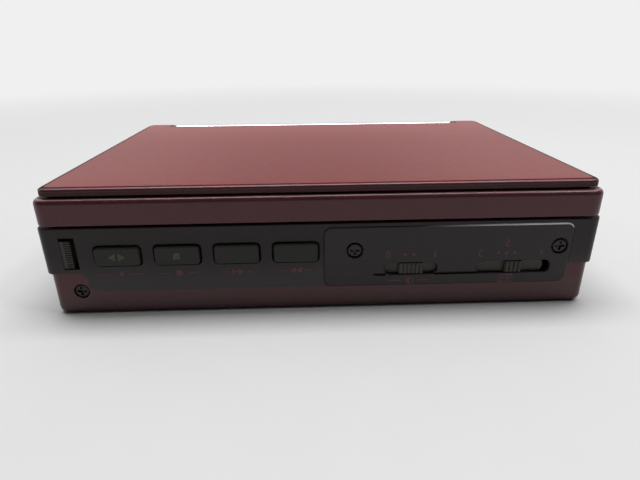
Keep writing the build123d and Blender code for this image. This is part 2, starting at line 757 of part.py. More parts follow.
def gear(x, y, teeth, turn, bore):
    # Straight-sided teeth, thin enough to run with backlash.
    pitch_radius = gear_module * teeth / 2
    outer = pitch_radius + 0.5
    root = pitch_radius - 0.72
    half = 0.40 * pi * gear_module / 2
    slope = tan(radians(20))
    with BuildSketch(Plane.XY.offset(gear_bottom)) as outline:
        with Locations((x, y)):
            Circle(root)
            with PolarLocations(0, teeth, start_angle=turn):
                Polygon(
                    (root - 0.2, -half - 0.72 * slope),
                    (root, -half - 0.72 * slope),
                    (pitch_radius, -half),
                    (outer, -half + 0.5 * slope),
                    (outer, half - 0.5 * slope),
                    (pitch_radius, half),
                    (root, half + 0.72 * slope),
                    (root - 0.2, half + 0.72 * slope),
                    align=None,
                )
            Circle(bore, mode=Mode.SUBTRACT)
    extrude(outline.sketch, amount=gear_height)


def meshing_turn(teeth_a, turn_a, place_a, teeth_b, place_b):
    # The turn of gear b that puts its gap against a tooth of gear a.
    heading = degrees(atan2(place_b[1] - place_a[1], place_b[0] - place_a[0]))
    return heading + 180 + 180 / teeth_b - (turn_a - heading) * teeth_a / teeth_b


# Left and right drive trains
for side, hand in ((-1, "left"), (1, "right")):
    capstan_place = (side * capstan_x, capstan_y)
    spindle_place = (side * spindle_x, spindle_y)
    idler_place = idlers[hand]

    with BuildPart() as flywheel:
        lower = belt_z - belt_size / 2 - 0.15
        upper = belt_z + belt_size / 2 + 0.15
        upright(*capstan_place, flywheel_radius - 0.3, (lower - 0.35, lower))
        upright(*capstan_place, groove_radius, (lower, upper))
        upright(*capstan_place, flywheel_radius, (upper, upper + 3.0))
        upright(*capstan_place, 3.0, (upper + 3.0, upper + 3.5))
        upright(*capstan_place, capstan_radius, (0, case_height), mode=Mode.SUBTRACT)
    pieces[f"{hand}_flywheel"] = flywheel.part

    with BuildPart() as capstan:
        upright(*capstan_place, capstan_radius, (bracket_top + 0.1, cassette_plane + 3.6))
        chamfer(capstan.faces().sort_by(Axis.Z)[-1].edges(), 0.3)
    pieces[f"{hand}_capstan"] = capstan.part

    with BuildPart() as pinion:
        gear(*capstan_place, pinion_teeth, 0, capstan_radius)
    pieces[f"{hand}_pinion"] = pinion.part

    with BuildPart() as bush:
        upright(*capstan_place, 2.6, (upper + 3.7, gear_bottom - 0.1))
        bore_radius = capstan_radius + running_gap
        upright(*capstan_place, bore_radius, (0, case_height), mode=Mode.SUBTRACT)
    pieces[f"{hand}_bush"] = bush.part

    idler_turn = meshing_turn(pinion_teeth, 0, capstan_place, idler_teeth, idler_place)
    with BuildPart() as idler:
        gear(*idler_place, idler_teeth, idler_turn, idler_pin_radius + running_gap)
    pieces[f"{hand}_idler"] = idler.part

    spindle_turn = meshing_turn(idler_teeth, idler_turn, idler_place, reel_teeth, spindle_place)
    with BuildPart() as spindle:
        gear(*spindle_place, reel_teeth, spindle_turn, 1.4 + running_gap)
        upright(*spindle_place, 4.6, (gear_top, deck_top + 0.2))
        upright(*spindle_place, 2.9, (deck_top, cassette_plane + 1.3))
        for fin in range(6):
            angle = radians(fin * 60)
            reach = 3.4
            fin_x = spindle_place[0] + reach * cos(angle)
            fin_y = spindle_place[1] + reach * sin(angle)
            fin_z = (deck_top + cassette_plane) / 2
            with Locations(Location((fin_x, fin_y, fin_z), (0, 0, fin * 60))):
                Box(2.0, 1.2, cassette_plane - deck_top)
        hole = (0, cassette_plane + 0.1)
        upright(*spindle_place, 1.4 + running_gap, hole, mode=Mode.SUBTRACT)
    pieces[f"{hand}_spindle"] = spindle.part

    # Pinch arm with the pin for its roller
    pivot = (side * arm_pivot[0], arm_pivot[1])
    roller = (side * capstan_x, bay_front - pinch_clearance - pinch_radius)
    roller_z = around(cassette_plane, pinch_height / 2)
    arm_z = (gear_top - 0.1, gear_top + 0.9)
    with BuildPart() as arm:
        length = hypot(pivot[0] - roller[0], pivot[1] - roller[1])
        heading = degrees(atan2(roller[1] - pivot[1], roller[0] - pivot[0]))
        middle = ((pivot[0] + roller[0]) / 2, (pivot[1] + roller[1]) / 2, sum(arm_z) / 2)
        with Locations(Location(middle, (0, 0, heading))):
            Box(length, 4.0, arm_z[1] - arm_z[0])
        upright(*pivot, 2.6, (arm_z[0], arm_z[1] + 0.5))
        upright(*roller, 2.2, (arm_z[0], roller_z[0] - 0.1))
        upright(*roller, 0.8, (arm_z[0], roller_z[1] + 0.5))
        upright(*pivot, arm_post_radius + running_gap, (0, case_height), mode=Mode.SUBTRACT)
    pieces[f"{hand}_pinch_arm"] = arm.part

    with BuildPart() as pinch_roller:
        upright(*roller, pinch_radius, roller_z)
        upright(*roller, 0.8 + running_gap, roller_z, mode=Mode.SUBTRACT)
    pieces[f"{hand}_pinch_roller"] = pinch_roller.part

# Motor, its pulley and the roller that leads the belt round the right flywheel
with BuildPart() as motor:
    upright(*motor_place, motor_radius, (belt_z + 1.3, deck_bottom - 0.5))
    upright(*motor_place, motor_flange_radius, (chassis_bottom - 0.8, chassis_bottom))
    upright(*motor_place, 0.8, (belt_z + 1.3, belt_z + 3.0), mode=Mode.SUBTRACT)
pieces["motor"] = motor.part


def grooved_wheel(x, y):
    upright(x, y, pulley_flange_radius, around(belt_z, 1.1))
    with Locations((x, y, belt_z)):
        Cylinder(pulley_flange_radius + 0.1, belt_size + 0.2, mode=Mode.SUBTRACT)
        Cylinder(pulley_radius, belt_size + 0.2)


with BuildPart() as motor_pulley:
    grooved_wheel(*motor_place)
    upright(*motor_place, 0.76, (belt_z, belt_z + 2.9))
pieces["motor_pulley"] = motor_pulley.part

with BuildPart() as belt_roller:
    grooved_wheel(*roller_place)
    upright(*roller_place, roller_pin_radius + running_gap, (0, case_height), mode=Mode.SUBTRACT)
pieces["belt_roller"] = belt_roller.part

# Belt: round the left flywheel, over the back of the right one, then roller and motor
flywheel_run = groove_radius + belt_gap + belt_size / 2
pulley_run = pulley_radius + belt_gap + belt_size / 2
belt_stops = [
    ((-capstan_x, capstan_y), flywheel_run, 1),
    ((capstan_x, capstan_y), flywheel_run, -1),
    (roller_place, pulley_run, 1),
    (motor_place, pulley_run, 1),
]


def belt_tangent(start, end):
    # Where the belt leaves one wheel and meets the next; 1 turns anticlockwise, -1 clockwise.
    (ax, ay), a_radius, a_turn = start
    (bx, by), b_radius, b_turn = end
    span = hypot(bx - ax, by - ay)
    heading = atan2(by - ay, bx - ax)
    lean = acos((a_turn * a_radius - b_turn * b_radius) / span)
    normal = heading - lean
    leave = (ax + a_turn * a_radius * cos(normal), ay + a_turn * a_radius * sin(normal))
    meet = (bx + b_turn * b_radius * cos(normal), by + b_turn * b_radius * sin(normal))
    return leave, meet


with BuildPart() as drive_belt:
    with BuildSketch(Plane.XY.offset(belt_z - belt_size / 2)) as belt_outline:
        with BuildLine() as belt_line:
            runs = [belt_tangent(belt_stops[i], belt_stops[(i + 1) % 4]) for i in range(4)]
            for index, (leave, meet) in enumerate(runs):
                Line(leave, meet)
                centre, radius, turn = belt_stops[(index + 1) % 4]
                next_leave = runs[(index + 1) % 4][0]
                start_angle = atan2(meet[1] - centre[1], meet[0] - centre[0])
                end_angle = atan2(next_leave[1] - centre[1], next_leave[0] - centre[0])
                sweep_angle = (turn * (end_angle - start_angle)) % (2 * pi)
                half_way = start_angle + turn * sweep_angle / 2
                crest = (centre[0] + radius * cos(half_way), centre[1] + radius * sin(half_way))
                ThreePointArc(meet, crest, next_leave)
        make_face()
    with BuildSketch(Plane.XY.offset(belt_z - belt_size / 2)) as outer_belt:
        add(belt_outline.sketch)
        offset(amount=belt_size / 2)
    with BuildSketch(Plane.XY.offset(belt_z - belt_size / 2)) as inner_belt:
        add(belt_outline.sketch)
        offset(amount=-belt_size / 2)
    extrude(outer_belt.sketch, amount=belt_size)
    extrude(inner_belt.sketch, amount=belt_size, mode=Mode.SUBTRACT)
pieces["drive_belt"] = drive_belt.part

# Head base, playback head and tape guides
head_y = (bay_front - head_gap - head_depth, bay_front - head_gap)
head_z = around(cassette_plane, head_height / 2)
base_z = (gear_bottom, gear_bottom + 0.8)
with BuildPart() as head_base:
    block(around(0, 16.0), (link_front, recess_front - key_travel - 0.6), base_z)
    block((first_key_x - 3.4, 0), (link_front, link_front + link_depth), base_z)
    for x, y in head_guides:
        guide_y = (y - 1.0 - key_travel, y + 1.0)
        block(around(x, 1.0), guide_y, base_z, mode=Mode.SUBTRACT)
    for side in (-1, 1):
        leg = mirrored(side, (head_width / 2 - 1.5, head_width / 2 - 0.5))
        block(leg, (link_front + 1.0, head_y[1] - 1.6), (base_z[1], head_z[0]))
    top_y = (link_front + 1.0, head_y[1] - 0.6)
    block(around(0, head_width / 2 + 3.4), top_y, (head_z[0] - 0.8, head_z[0]))
pieces["head_base"] = head_base.part

with BuildPart() as playback_head:
    block(around(0, head_width / 2), head_y, head_z)
    nose_edges = playback_head.edges().filter_by(Axis.Z).group_by(Axis.Y)[-1]
    fillet(nose_edges, 3.0)
pieces["playback_head"] = playback_head.part

with BuildPart() as tape_guides:
    for side in (-1, 1):
        guide = mirrored(side, (head_width / 2 + 0.8, head_width / 2 + 2.8))
        block(guide, (head_y[0] + 1.5, head_y[1] - 0.8), (head_z[0], head_z[1] - 0.6))
        slot_y = (head_y[1] - 2.0, head_y[1])
        block(guide, slot_y, around(cassette_plane, 1.9), mode=Mode.SUBTRACT)
pieces["tape_guides"] = tape_guides.part

# Volume wheel on its potentiometer
with BuildPart() as volume_pot:
    block(around(wheel_x, 4.0), around(wheel_y, 4.0), (chassis_top, wheel_bottom - 0.2))
    upright(wheel_x, wheel_y, 1.2, (chassis_top, wheel_bottom + wheel_height + 0.2))
pieces["volume_pot"] = volume_pot.part

with BuildPart() as volume_wheel:
    upright(wheel_x, wheel_y, wheel_radius, (wheel_bottom, wheel_bottom + wheel_height))
    chamfer(volume_wheel.edges().filter_by(GeomType.CIRCLE), rim_radius)
    upright(wheel_x, wheel_y, 1.2 + running_gap, (0, case_height), mode=Mode.SUBTRACT)
    for index in range(36):
        angle = 2 * pi * (index + 0.5) / 36
        notch = (wheel_x + wheel_radius * cos(angle), wheel_y + wheel_radius * sin(angle))
        upright(*notch, 0.3, (wheel_bottom, wheel_bottom + wheel_height), mode=Mode.SUBTRACT)
pieces["volume_wheel"] = volume_wheel.part

# Rounding of the lid's lower back edge about the hinge, so that it clears the shell as it opens
with BuildPart() as hinge_rounding:
    block((left, right), (hinge_y, back + 1.0), (lid_rim - 1.0, hinge_z))
    along_x(hinge_y, hinge_z, hinge_radius, (left, right), mode=Mode.SUBTRACT)

# The lid's upper tier, with the notch in its back edge and the bed of the plate
tier_size = (case_width - 2 * tier_side_inset, case_depth - 2 * tier_end_inset)
tier_back = back - tier_end_inset
plate_size = (tier_size[0] - 2 * plate_border, tier_size[1] - 2 * plate_border)
notch_front = tier_back - notch_depth


def notched(outline, size, corner_radius, border, ease):
    # The outline that the tier and the plate share, the notch cut deeper by the border.
    RectangleRounded(*size, corner_radius)
    half_width = notch_half_width + border
    with Locations((0, back)):
        Rectangle(2 * half_width, 2 * (back - notch_front + border), mode=Mode.SUBTRACT)
    fillet([v for v in outline.vertices() if abs(abs(v.X) - half_width) < 0.1], ease)


with BuildPart() as lid_tier:
    with BuildSketch(Plane.XY.offset(tier_bottom)) as tier_outline:
        notched(tier_outline, tier_size, tier_corner_radius, 0, notch_corner_radius)
    extrude(amount=tier_height)
    fillet(lid_tier.faces().sort_by(Axis.Z)[-1].edges(), tier_edge_radius)
    with BuildSketch(Plane.XY.offset(tier_top)) as bed_outline:
        bed_size = (plate_size[0] + 2 * plate_gap, plate_size[1] + 2 * plate_gap)
        bed_radius = plate_corner_radius + plate_gap
        notched(bed_outline, bed_size, bed_radius, plate_border - plate_gap, plate_notch_radius)
    extrude(amount=plate_proud - plate_sheet, mode=Mode.SUBTRACT)

# Lid frame
with BuildPart() as lid_frame:
    with BuildSketch(Plane.XY.offset(lid_rim)):
        RectangleRounded(case_width, case_depth, lid_corner_radius)
    extrude(amount=frame_top - lid_rim)
    fillet(lid_frame.faces().sort_by(Axis.Z)[-1].edges(), lid_edge_radius)
    fillet(lid_frame.faces().sort_by(Axis.Z)[0].edges(), rim_radius)
    add(hinge_rounding.part, mode=Mode.SUBTRACT)
    with BuildSketch(Plane.XY.offset(frame_top)):
        Rectangle(tier_size[0] - 2 * groove_depth, tier_size[1] - 2 * groove_depth)
    extrude(amount=groove_height)
    add(lid_tier.part)
    cavity_y = (front + wall, back - hinge_wall)
    block(around(0, right - wall), cavity_y, (lid_rim, lid_ceiling), mode=Mode.SUBTRACT)
    pocket_y = (bay_front - 0.7, bay_front + cassette_thick_depth + 0.5)
    block(around(0, thick_half + 0.5), pocket_y, (lid_ceiling, tier_bottom), mode=Mode.SUBTRACT)
    for side in (-1, 1):
        clear = around(side * lug_x, lug_width / 2 + lug_gap)
        bosses = around(side * lug_x, lug_width / 2 + lug_gap + boss_width)
        block(bosses, (hinge_y - 2.1, back - hinge_wall), (lid_rim, lid_ceiling))
        block(clear, (hinge_y - 2.3, back), (lid_rim - 1.0, hinge_z), mode=Mode.SUBTRACT)
        along_x(hinge_y, hinge_z, lug_radius + 0.7, clear, mode=Mode.SUBTRACT)
        block(clear, (hinge_y, back), (hinge_z, hinge_z + lug_radius + 0.7), mode=Mode.SUBTRACT)
        pin = around(side * lug_x, lug_width / 2 + lug_gap + 2.6)
        along_x(hinge_y, hinge_z, pin_radius, pin, mode=Mode.SUBTRACT)
    # Hook that the open slider holds
    block(hook_x, hook_y, (hook_foot, lid_ceiling))
    barb = (hook_x[0], hook_x[1] + barb_reach)
    block(barb, hook_y, (hook_foot, barb_top))
    block(hook_x, (front + 0.5, hook_y[1]), (lid_ceiling - 2.5, lid_ceiling))
pieces["lid_frame"] = lid_frame.part

with BuildPart() as hinge_pins:
    for side in (-1, 1):
        along_x(hinge_y, hinge_z, pin_radius, around(side * lug_x, lug_width / 2 + lug_gap + 2.6))
pieces["hinge_pins"] = hinge_pins.part

# Lid plate, a sheet let into the tier's top
with BuildPart() as lid_plate:
    with BuildSketch(Plane.XY.offset(case_height - plate_sheet)) as plate_outline:
        notched(plate_outline, plate_size, plate_corner_radius, plate_border, plate_notch_radius)
    extrude(amount=plate_sheet)
    fillet(lid_plate.faces().sort_by(Axis.Z)[-1].edges(), plate_edge_radius)
pieces["lid_plate"] = lid_plate.part

# Glossy strip in the notch
with BuildPart() as lid_strip:
    strip_y = (notch_front + strip_gap, tier_back - strip_back_inset)
    strip_x = around(0, notch_half_width - strip_gap - notch_corner_radius / 2)
    block(strip_x, strip_y, (tier_bottom, case_height))
    fillet(lid_strip.edges().filter_by(Axis.X).group_by(Axis.Z)[-1], strip_edge_radius)
pieces["lid_strip"] = lid_strip.part

# Liner inside the lid: two sides and a back, open towards the head
with BuildPart() as lid_liner:
    liner_z = (lid_rim + 0.6, lid_ceiling)
    outer_x = right - wall - 0.3
    inner_x = cassette_width / 2 + 1.4
    outer_back = hinge_y - 2.4
    block(around(0, outer_x), (hook_y[1] + 1.0, outer_back), liner_z)
    inner_y = (front, bay_back + 0.9)
    block(around(0, inner_x), inner_y, liner_z, mode=Mode.SUBTRACT)
    for side in (-1, 1):
        hollow_x = mirrored(side, (inner_x + rib, outer_x))
        hollow = (hollow_x, (front, outer_back), (liner_z[0] + rib, liner_z[1]))
        block(*hollow, mode=Mode.SUBTRACT)
pieces["lid_liner"] = lid_liner.part

# Two bowed leaf springs that hold the cassette down
with BuildPart() as cassette_springs:
    for side in (-1, 1):
        with BuildSketch(Plane.YZ.offset(side * 30.0 - 3.0)):
            with BuildLine():
                drop = 1.3
                ThreePointArc((-6.0, lid_ceiling), (6.0, lid_ceiling - drop), (18.0, lid_ceiling))
                Line((18.0, lid_ceiling), (17.0, lid_ceiling))
                ThreePointArc((17.0, lid_ceiling), (6.0, lid_ceiling - drop + 0.3), (-5.0, lid_ceiling))
                Line((-5.0, lid_ceiling), (-6.0, lid_ceiling))
            make_face()
        extrude(amount=6.0)
pieces["cassette_springs"] = cassette_springs.part

os.makedirs("parts", exist_ok=True)
for name, piece in pieces.items():
    piece.label = name
    export_step(piece, f"parts/{name}.step")
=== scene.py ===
# A portable cassette player on a pale studio floor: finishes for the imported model's nodes, and the
# small printed and raised signs that the CAD leaves out. Distances are in millimetres, and screen
# colours run from 0 to 255.
import math

import bpy
import numpy as np
from mathutils import Matrix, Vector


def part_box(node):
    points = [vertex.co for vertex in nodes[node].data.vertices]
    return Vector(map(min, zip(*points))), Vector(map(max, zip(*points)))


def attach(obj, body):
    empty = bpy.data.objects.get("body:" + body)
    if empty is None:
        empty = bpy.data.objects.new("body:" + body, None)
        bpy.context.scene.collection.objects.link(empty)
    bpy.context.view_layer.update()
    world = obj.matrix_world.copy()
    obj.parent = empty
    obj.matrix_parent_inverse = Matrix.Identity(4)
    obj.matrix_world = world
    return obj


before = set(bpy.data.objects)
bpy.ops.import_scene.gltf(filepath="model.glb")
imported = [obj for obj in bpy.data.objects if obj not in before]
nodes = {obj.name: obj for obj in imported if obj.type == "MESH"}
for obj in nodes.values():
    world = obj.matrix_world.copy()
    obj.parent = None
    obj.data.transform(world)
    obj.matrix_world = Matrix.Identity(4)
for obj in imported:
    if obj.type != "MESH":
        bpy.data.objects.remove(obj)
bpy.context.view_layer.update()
mm = 0.001
print("frame loaded,", len(nodes), "nodes")


def linear(red, green, blue):
    # A screen colour as a linear one: ((c + 0.055) / 1.055) ** 2.4 above the dark end
    screen = np.array((red, green, blue)) / 255
    bright = ((screen + 0.055) / 1.055) ** 2.4
    return tuple(np.where(screen > 0.04045, bright, screen / 12.92)) + (1.0,)


def tonesOf(look):
    # The colours among a finish's values, which are those with three parts
    return {name: linear(*value) for name, value in look.items() if np.size(value) == 3}


# Nodes

class Value:
    # An output socket in a node tree; an expression on it adds its Math nodes
    def __init__(self, recipe, output):
        self.recipe = recipe
        self.output = output

    def math(self, operation, *values):
        settings = {"operation": operation}
        return self.recipe.add("ShaderNodeMath", settings, dict(enumerate(values)))

    def __add__(self, other):
        return self.math("ADD", self, other)

    def __radd__(self, other):
        return self.math("ADD", other, self)

    def __sub__(self, other):
        return self.math("SUBTRACT", self, other)

    def __rsub__(self, other):
        return self.math("SUBTRACT", other, self)

    def __mul__(self, other):
        return self.math("MULTIPLY", self, other)

    def __rmul__(self, other):
        return self.math("MULTIPLY", other, self)

    def __pow__(self, other):
        return self.math("POWER", self, other)

    def __abs__(self):
        return self.math("ABSOLUTE", self)

    def larger(self, other):
        return self.math("MAXIMUM", self, other)

    def sine(self):
        return self.math("SINE", self)

    def fraction(self):
        return self.math("FRACT", self)


class Recipe:
    # One node tree being written
    def __init__(self, tree):
        self.tree = tree

    def feed(self, socket, value):
        if isinstance(value, Value):
            self.tree.links.new(value.output, socket)
        else:
            socket.default_value = value

    def add(self, kind, settings=None, sockets=None, output=0):
        # A node of this kind: its settings first, then the values or links of its sockets
        node = self.tree.nodes.new(kind)
        for name, setting in (settings or {}).items():
            setattr(node, name, setting)
        for key, value in (sockets or {}).items():
            self.feed(node.inputs[key], value)
        return Value(self, node.outputs[output])

    def axes(self, vector):
        return [self.add("ShaderNodeSeparateXYZ", None, {0: vector}, n) for n in range(3)]

    def span(self, value, low, high, first=0.0, last=1.0):
        # Runs smoothly from first to last while value goes from low to high
        sockets = {0: value, 1: low, 2: high, 3: first, 4: last}
        return self.add("ShaderNodeMapRange", {"interpolation_type": "SMOOTHSTEP"}, sockets)

    def between(self, value, reach, first=0.0, last=1.0):
        # The same over a reach in millimetres
        low, high = reach
        return self.span(value, low * mm, high * mm, first, last)

    def mixed(self, factor, first, second):
        settings = {"data_type": "RGBA", "clamp_factor": True}
        return self.add("ShaderNodeMix", settings, {0: factor, 6: first, 7: second}, 2)


rim = {"rise": 0.14, "flat": (0.985, 0.998)}  # shares of the normal that point up


class Finish(Recipe):
    # A material: fixed numbers are set on the surface's own sockets, what varies is linked to them
    def __init__(self, name):
        self.material = bpy.data.materials.new(name)
        self.material.use_nodes = True
        super().__init__(self.material.node_tree)
        self.surface = self.tree.nodes["Principled BSDF"]
        self.place = self.add("ShaderNodeTexCoord", output=3)
        self.facing = self.add("ShaderNodeTexCoord", output=1)

    def set(self, **values):
        for name, value in values.items():
            words = {"colour": "Base Color", "specular": "Specular IOR Level"}
            socket = words.get(name) or name[0].upper() + name[1:]
            self.feed(self.surface.inputs[socket], value)

    def grain(self, size, detail=2.0, stretch=(1, 1, 1), shift=0.0):
        # Noise of 0 to 1 whose blotches are about size across, longer where stretch is over 1
        scales = [1 / (size * mm * s) for s in stretch]
        sockets = {"Vector": self.place, "Location": (shift,) * 3, "Scale": scales}
        vector = self.add("ShaderNodeMapping", None, sockets)
        noise = {"Vector": vector, "Scale": 1.0, "Detail": detail, "Roughness": 0.55}
        return self.add("ShaderNodeTexNoise", None, noise)

    def edges(self, soft, full):
        # 0 on a flat face that looks along an axis, 1 on the middle of a rounded edge
        x, y, z = [abs(part) for part in self.axes(self.facing)]
        return self.span(1 - x.larger(y).larger(z), soft, full)

    def upperRim(self, low=0.72):
        # 1 on the upper part of a rounded edge, where a highlight is painted
        z = self.axes(self.facing)[2]
        return self.span(z, low, low + rim["rise"]) * self.span(z, *rim["flat"], 1.0, 0.0)

    def bumped(self, height, depth):
        sockets = {"Height": height, "Strength": 1.0, "Distance": depth * mm}
        self.set(normal=self.add("ShaderNodeBump", None, sockets))


# Camera and light

photoCamera = {
    "place": (-3.773, -137.606, 56.988),
    "turn": -1.787,  # degrees about the vertical
    "dip": 22.582,  # degrees below the horizon
    "roll": -0.530,
    "lens": 26.8955,
    "sensor": 36.0,
    "clip": (0.005, 50.0),  # metres
}


def cameraTurn(turn, dip, roll):
    # Columns: right, up and back of a camera that looks along +Y, turned, dipped, then rolled
    sines = np.sin(np.radians((turn, dip, roll)))
    cosines = np.cos(np.radians((turn, dip, roll)))
    level = np.array((cosines[0], sines[0], 0.0))
    ahead = np.array((-sines[0] * cosines[1], cosines[0] * cosines[1], -sines[1]))
    upright = np.cross(level, ahead)
    right = cosines[2] * level + sines[2] * upright
    up = cosines[2] * upright - sines[2] * level
    return Matrix(np.column_stack((right, up, -ahead)).tolist())


def makeCamera():
    lens = bpy.data.cameras.new("photoLens")
    lens.sensor_width = photoCamera["sensor"]
    lens.lens = photoCamera["lens"]
    lens.clip_start, lens.clip_end = photoCamera["clip"]
    camera = bpy.data.objects.new("photoCamera", lens)
    turned = cameraTurn(photoCamera["turn"], photoCamera["dip"], photoCamera["roll"])
    place = Matrix.Translation([c * mm for c in photoCamera["place"]])
    camera.matrix_world = place @ turned.to_4x4()
    bpy.context.scene.collection.objects.link(camera)
    bpy.context.scene.camera = camera


studio = {
    "backdrop": 0.87,  # the bright screen past the floor
    "behind": 0.98,  # what polished edges see at the back of the room and overhead
    "front": 0.12,  # the dark front of the room
    "back": (-0.20, 0.30),  # where a direction turns from the front to the back of the room
    "dip": 0.5,  # a dimmer wall straight behind, a little above the horizon
    "dipFoot": (0.12, 0.24),
    "dipTop": (0.42, 0.60),
    "dipSides": (0.05, 0.40),
    "dipAside": 0.5,  # the dip's share away from the middle
    "skyLight": 0.56,  # what matt surfaces get from the back of the room
    "frontLight": 0.03,
    "sky": (-0.30, 0.50),
}
lamps = {
    "overhead": {
        "place": (0, 120, 880),
        "target": (0, 0, 0),
        "size": (900, 330),
        "power": 6.5,
    },
    "upperRight": {
        "place": (420, -150, 620),
        "target": (0, 0, 10),
        "size": (150, 110),
        "power": 0.75,
    },
}
paper = {
    "colour": (229, 229, 229),
    "deep": (226, 226, 226),
    "cloud": 14.0,
    "roughness": 0.75,
    "specular": 0.1,
    "radius": 4000.0,
    "sides": 96,
    "drop": 0.02,  # how far the floor lies below the player
    "fade": (150.0, 620.0),  # it turns into the screen between these distances
}


def makeLamps():
    for name, lamp in lamps.items():
        light = bpy.data.lights.new(name, "AREA")
        light.shape = "RECTANGLE"
        light.size, light.size_y = [length * mm for length in lamp["size"]]
        light.energy = lamp["power"]
        holder = bpy.data.objects.new(name, light)
        towards = np.subtract(lamp["target"], lamp["place"])
        back = -towards / np.linalg.norm(towards)
        side = np.cross((0.0, 0.0, 1.0), back)
        side /= np.linalg.norm(side)
        columns = np.column_stack((side, np.cross(back, side), back))
        place = Matrix.Translation([c * mm for c in lamp["place"]])
        holder.matrix_world = place @ Matrix(columns.tolist()).to_4x4()
        bpy.context.scene.collection.objects.link(holder)


def rays(recipe):
    # Three masks: what the camera sees straight or through plastic, what gloss sees, the rest
    camera, glossy, through = [
        recipe.add("ShaderNodeLightPath", output=name)
        for name in ("Is Camera Ray", "Is Glossy Ray", "Is Transmission Ray")
    ]
    straight = camera.larger(through)
    return straight, glossy, 1 - glossy.larger(straight)


def makeWorld():
    # A white screen for the camera; gloss sees a room that is bright at the back, dark in front
    world = bpy.data.worlds.new("studio")
    world.use_nodes = True
    bpy.context.scene.world = world
    recipe = Recipe(world.node_tree)
    x, y, z = recipe.axes(recipe.add("ShaderNodeTexCoord", output=0))
    straight, glossy, rest = rays(recipe)
    back = recipe.span(y, *studio["back"])
    middle = recipe.span(abs(x), *studio["dipSides"], 1.0, studio["dipAside"])
    upright = recipe.span(z, *studio["dipFoot"]) * recipe.span(z, *studio["dipTop"], 1.0, 0.0)
    bright = studio["behind"] - upright * middle * studio["dip"]
    room = back * (bright - studio["front"]) + studio["front"]
    sky = recipe.span(y, *studio["sky"], studio["frontLight"], studio["skyLight"])
    strength = straight * studio["backdrop"] + glossy * room + rest * sky
    background = world.node_tree.nodes["Background"]
    recipe.feed(background.inputs["Strength"], strength)
    recipe.feed(background.inputs["Color"], (1.0, 1.0, 1.0, 1.0))


def makeFloor():
    # A disc that takes the shadow near the player and turns into the backdrop further off
    bpy.ops.mesh.primitive_circle_add(
        vertices=paper["sides"],
        radius=paper["radius"] * mm,
        fill_type="NGON",
        location=(0, 0, -paper["drop"] * mm),
    )
    floor = bpy.context.object
    floor.name = "floor"
    sheet = Finish("floorPaper")
    x, y, z = sheet.axes(sheet.place)
    fade = sheet.between((x * x + y * y) ** 0.5, paper["fade"])
    cloud = sheet.grain(paper["cloud"], detail=3.0)
    sheet.set(
        colour=sheet.mixed(cloud, linear(*paper["colour"]), linear(*paper["deep"])),
        roughness=paper["roughness"],
        specular=paper["specular"],
    )
    straight, glossy, rest = rays(sheet)
    glow = sheet.add("ShaderNodeEmission", None, {"Strength": studio["backdrop"]})
    surface = Value(sheet, sheet.surface.outputs[0])
    mixes = {0: fade * (1 - rest), 1: surface, 2: glow}
    shader = sheet.add("ShaderNodeMixShader", None, mixes)
    sheet.feed(sheet.tree.nodes["Material Output"].inputs["Surface"], shader)
    floor.data.materials.append(sheet.material)


makeCamera()
makeLamps()
makeWorld()
makeFloor()
bpy.context.scene.view_settings.view_transform = "Standard"
print("camera, lamps and floor made")


# Finishes

casePaint = {
    "colour": (85, 40, 47),
    "deep": (62, 28, 35),
    "worn": (128, 92, 88),
    "roughness": 0.27,
    "specular": 0.45,
    "metallic": 0.25,
    "speckle": 0.35,
    "cloud": 9.0,
    "patch": 2.6,
    "wear": 0.55,
    "peel": (0.9, 0.008),  # the orange peel's size and depth
    "plateBorderShade": (22, 8, 9),  # painted shade: the dark line around the plate
    "plateHalf": (58.5, 40.1),
    "plateBorderShadeEdge": (0.252, 0.504),  # it fades over these distances outside the plate
    "plateBorderShadeHeight": (29.0, 29.2),
    "plateBorderShadeBack": (37.0, 37.6),  # it stops short of the strip's notch
    "polished": (196, 150, 150),  # painted highlight on the upper edges
    "tierHeight": (28.2, 28.6),
    "tierShare": 0.35,  # the tier's edge gets less of the painted highlight than the frame's
    "foot": (80, 60, 60),  # painted shade: greyer on the lower body near the table
    "footHeight": (2.0, 9.0),
    "groove": (58, 26, 25),  # painted shade on the lower side of the plate's tier, toward the groove
    "grooveFoot": (27.2, 27.3),
    "grooveTop": (28.5, 29.0),
    "grooveLight": (112, 66, 62),  # painted light: paler at the foot of the tier, in the groove's shade
    "grooveLightTop": (27.4, 27.75),
}


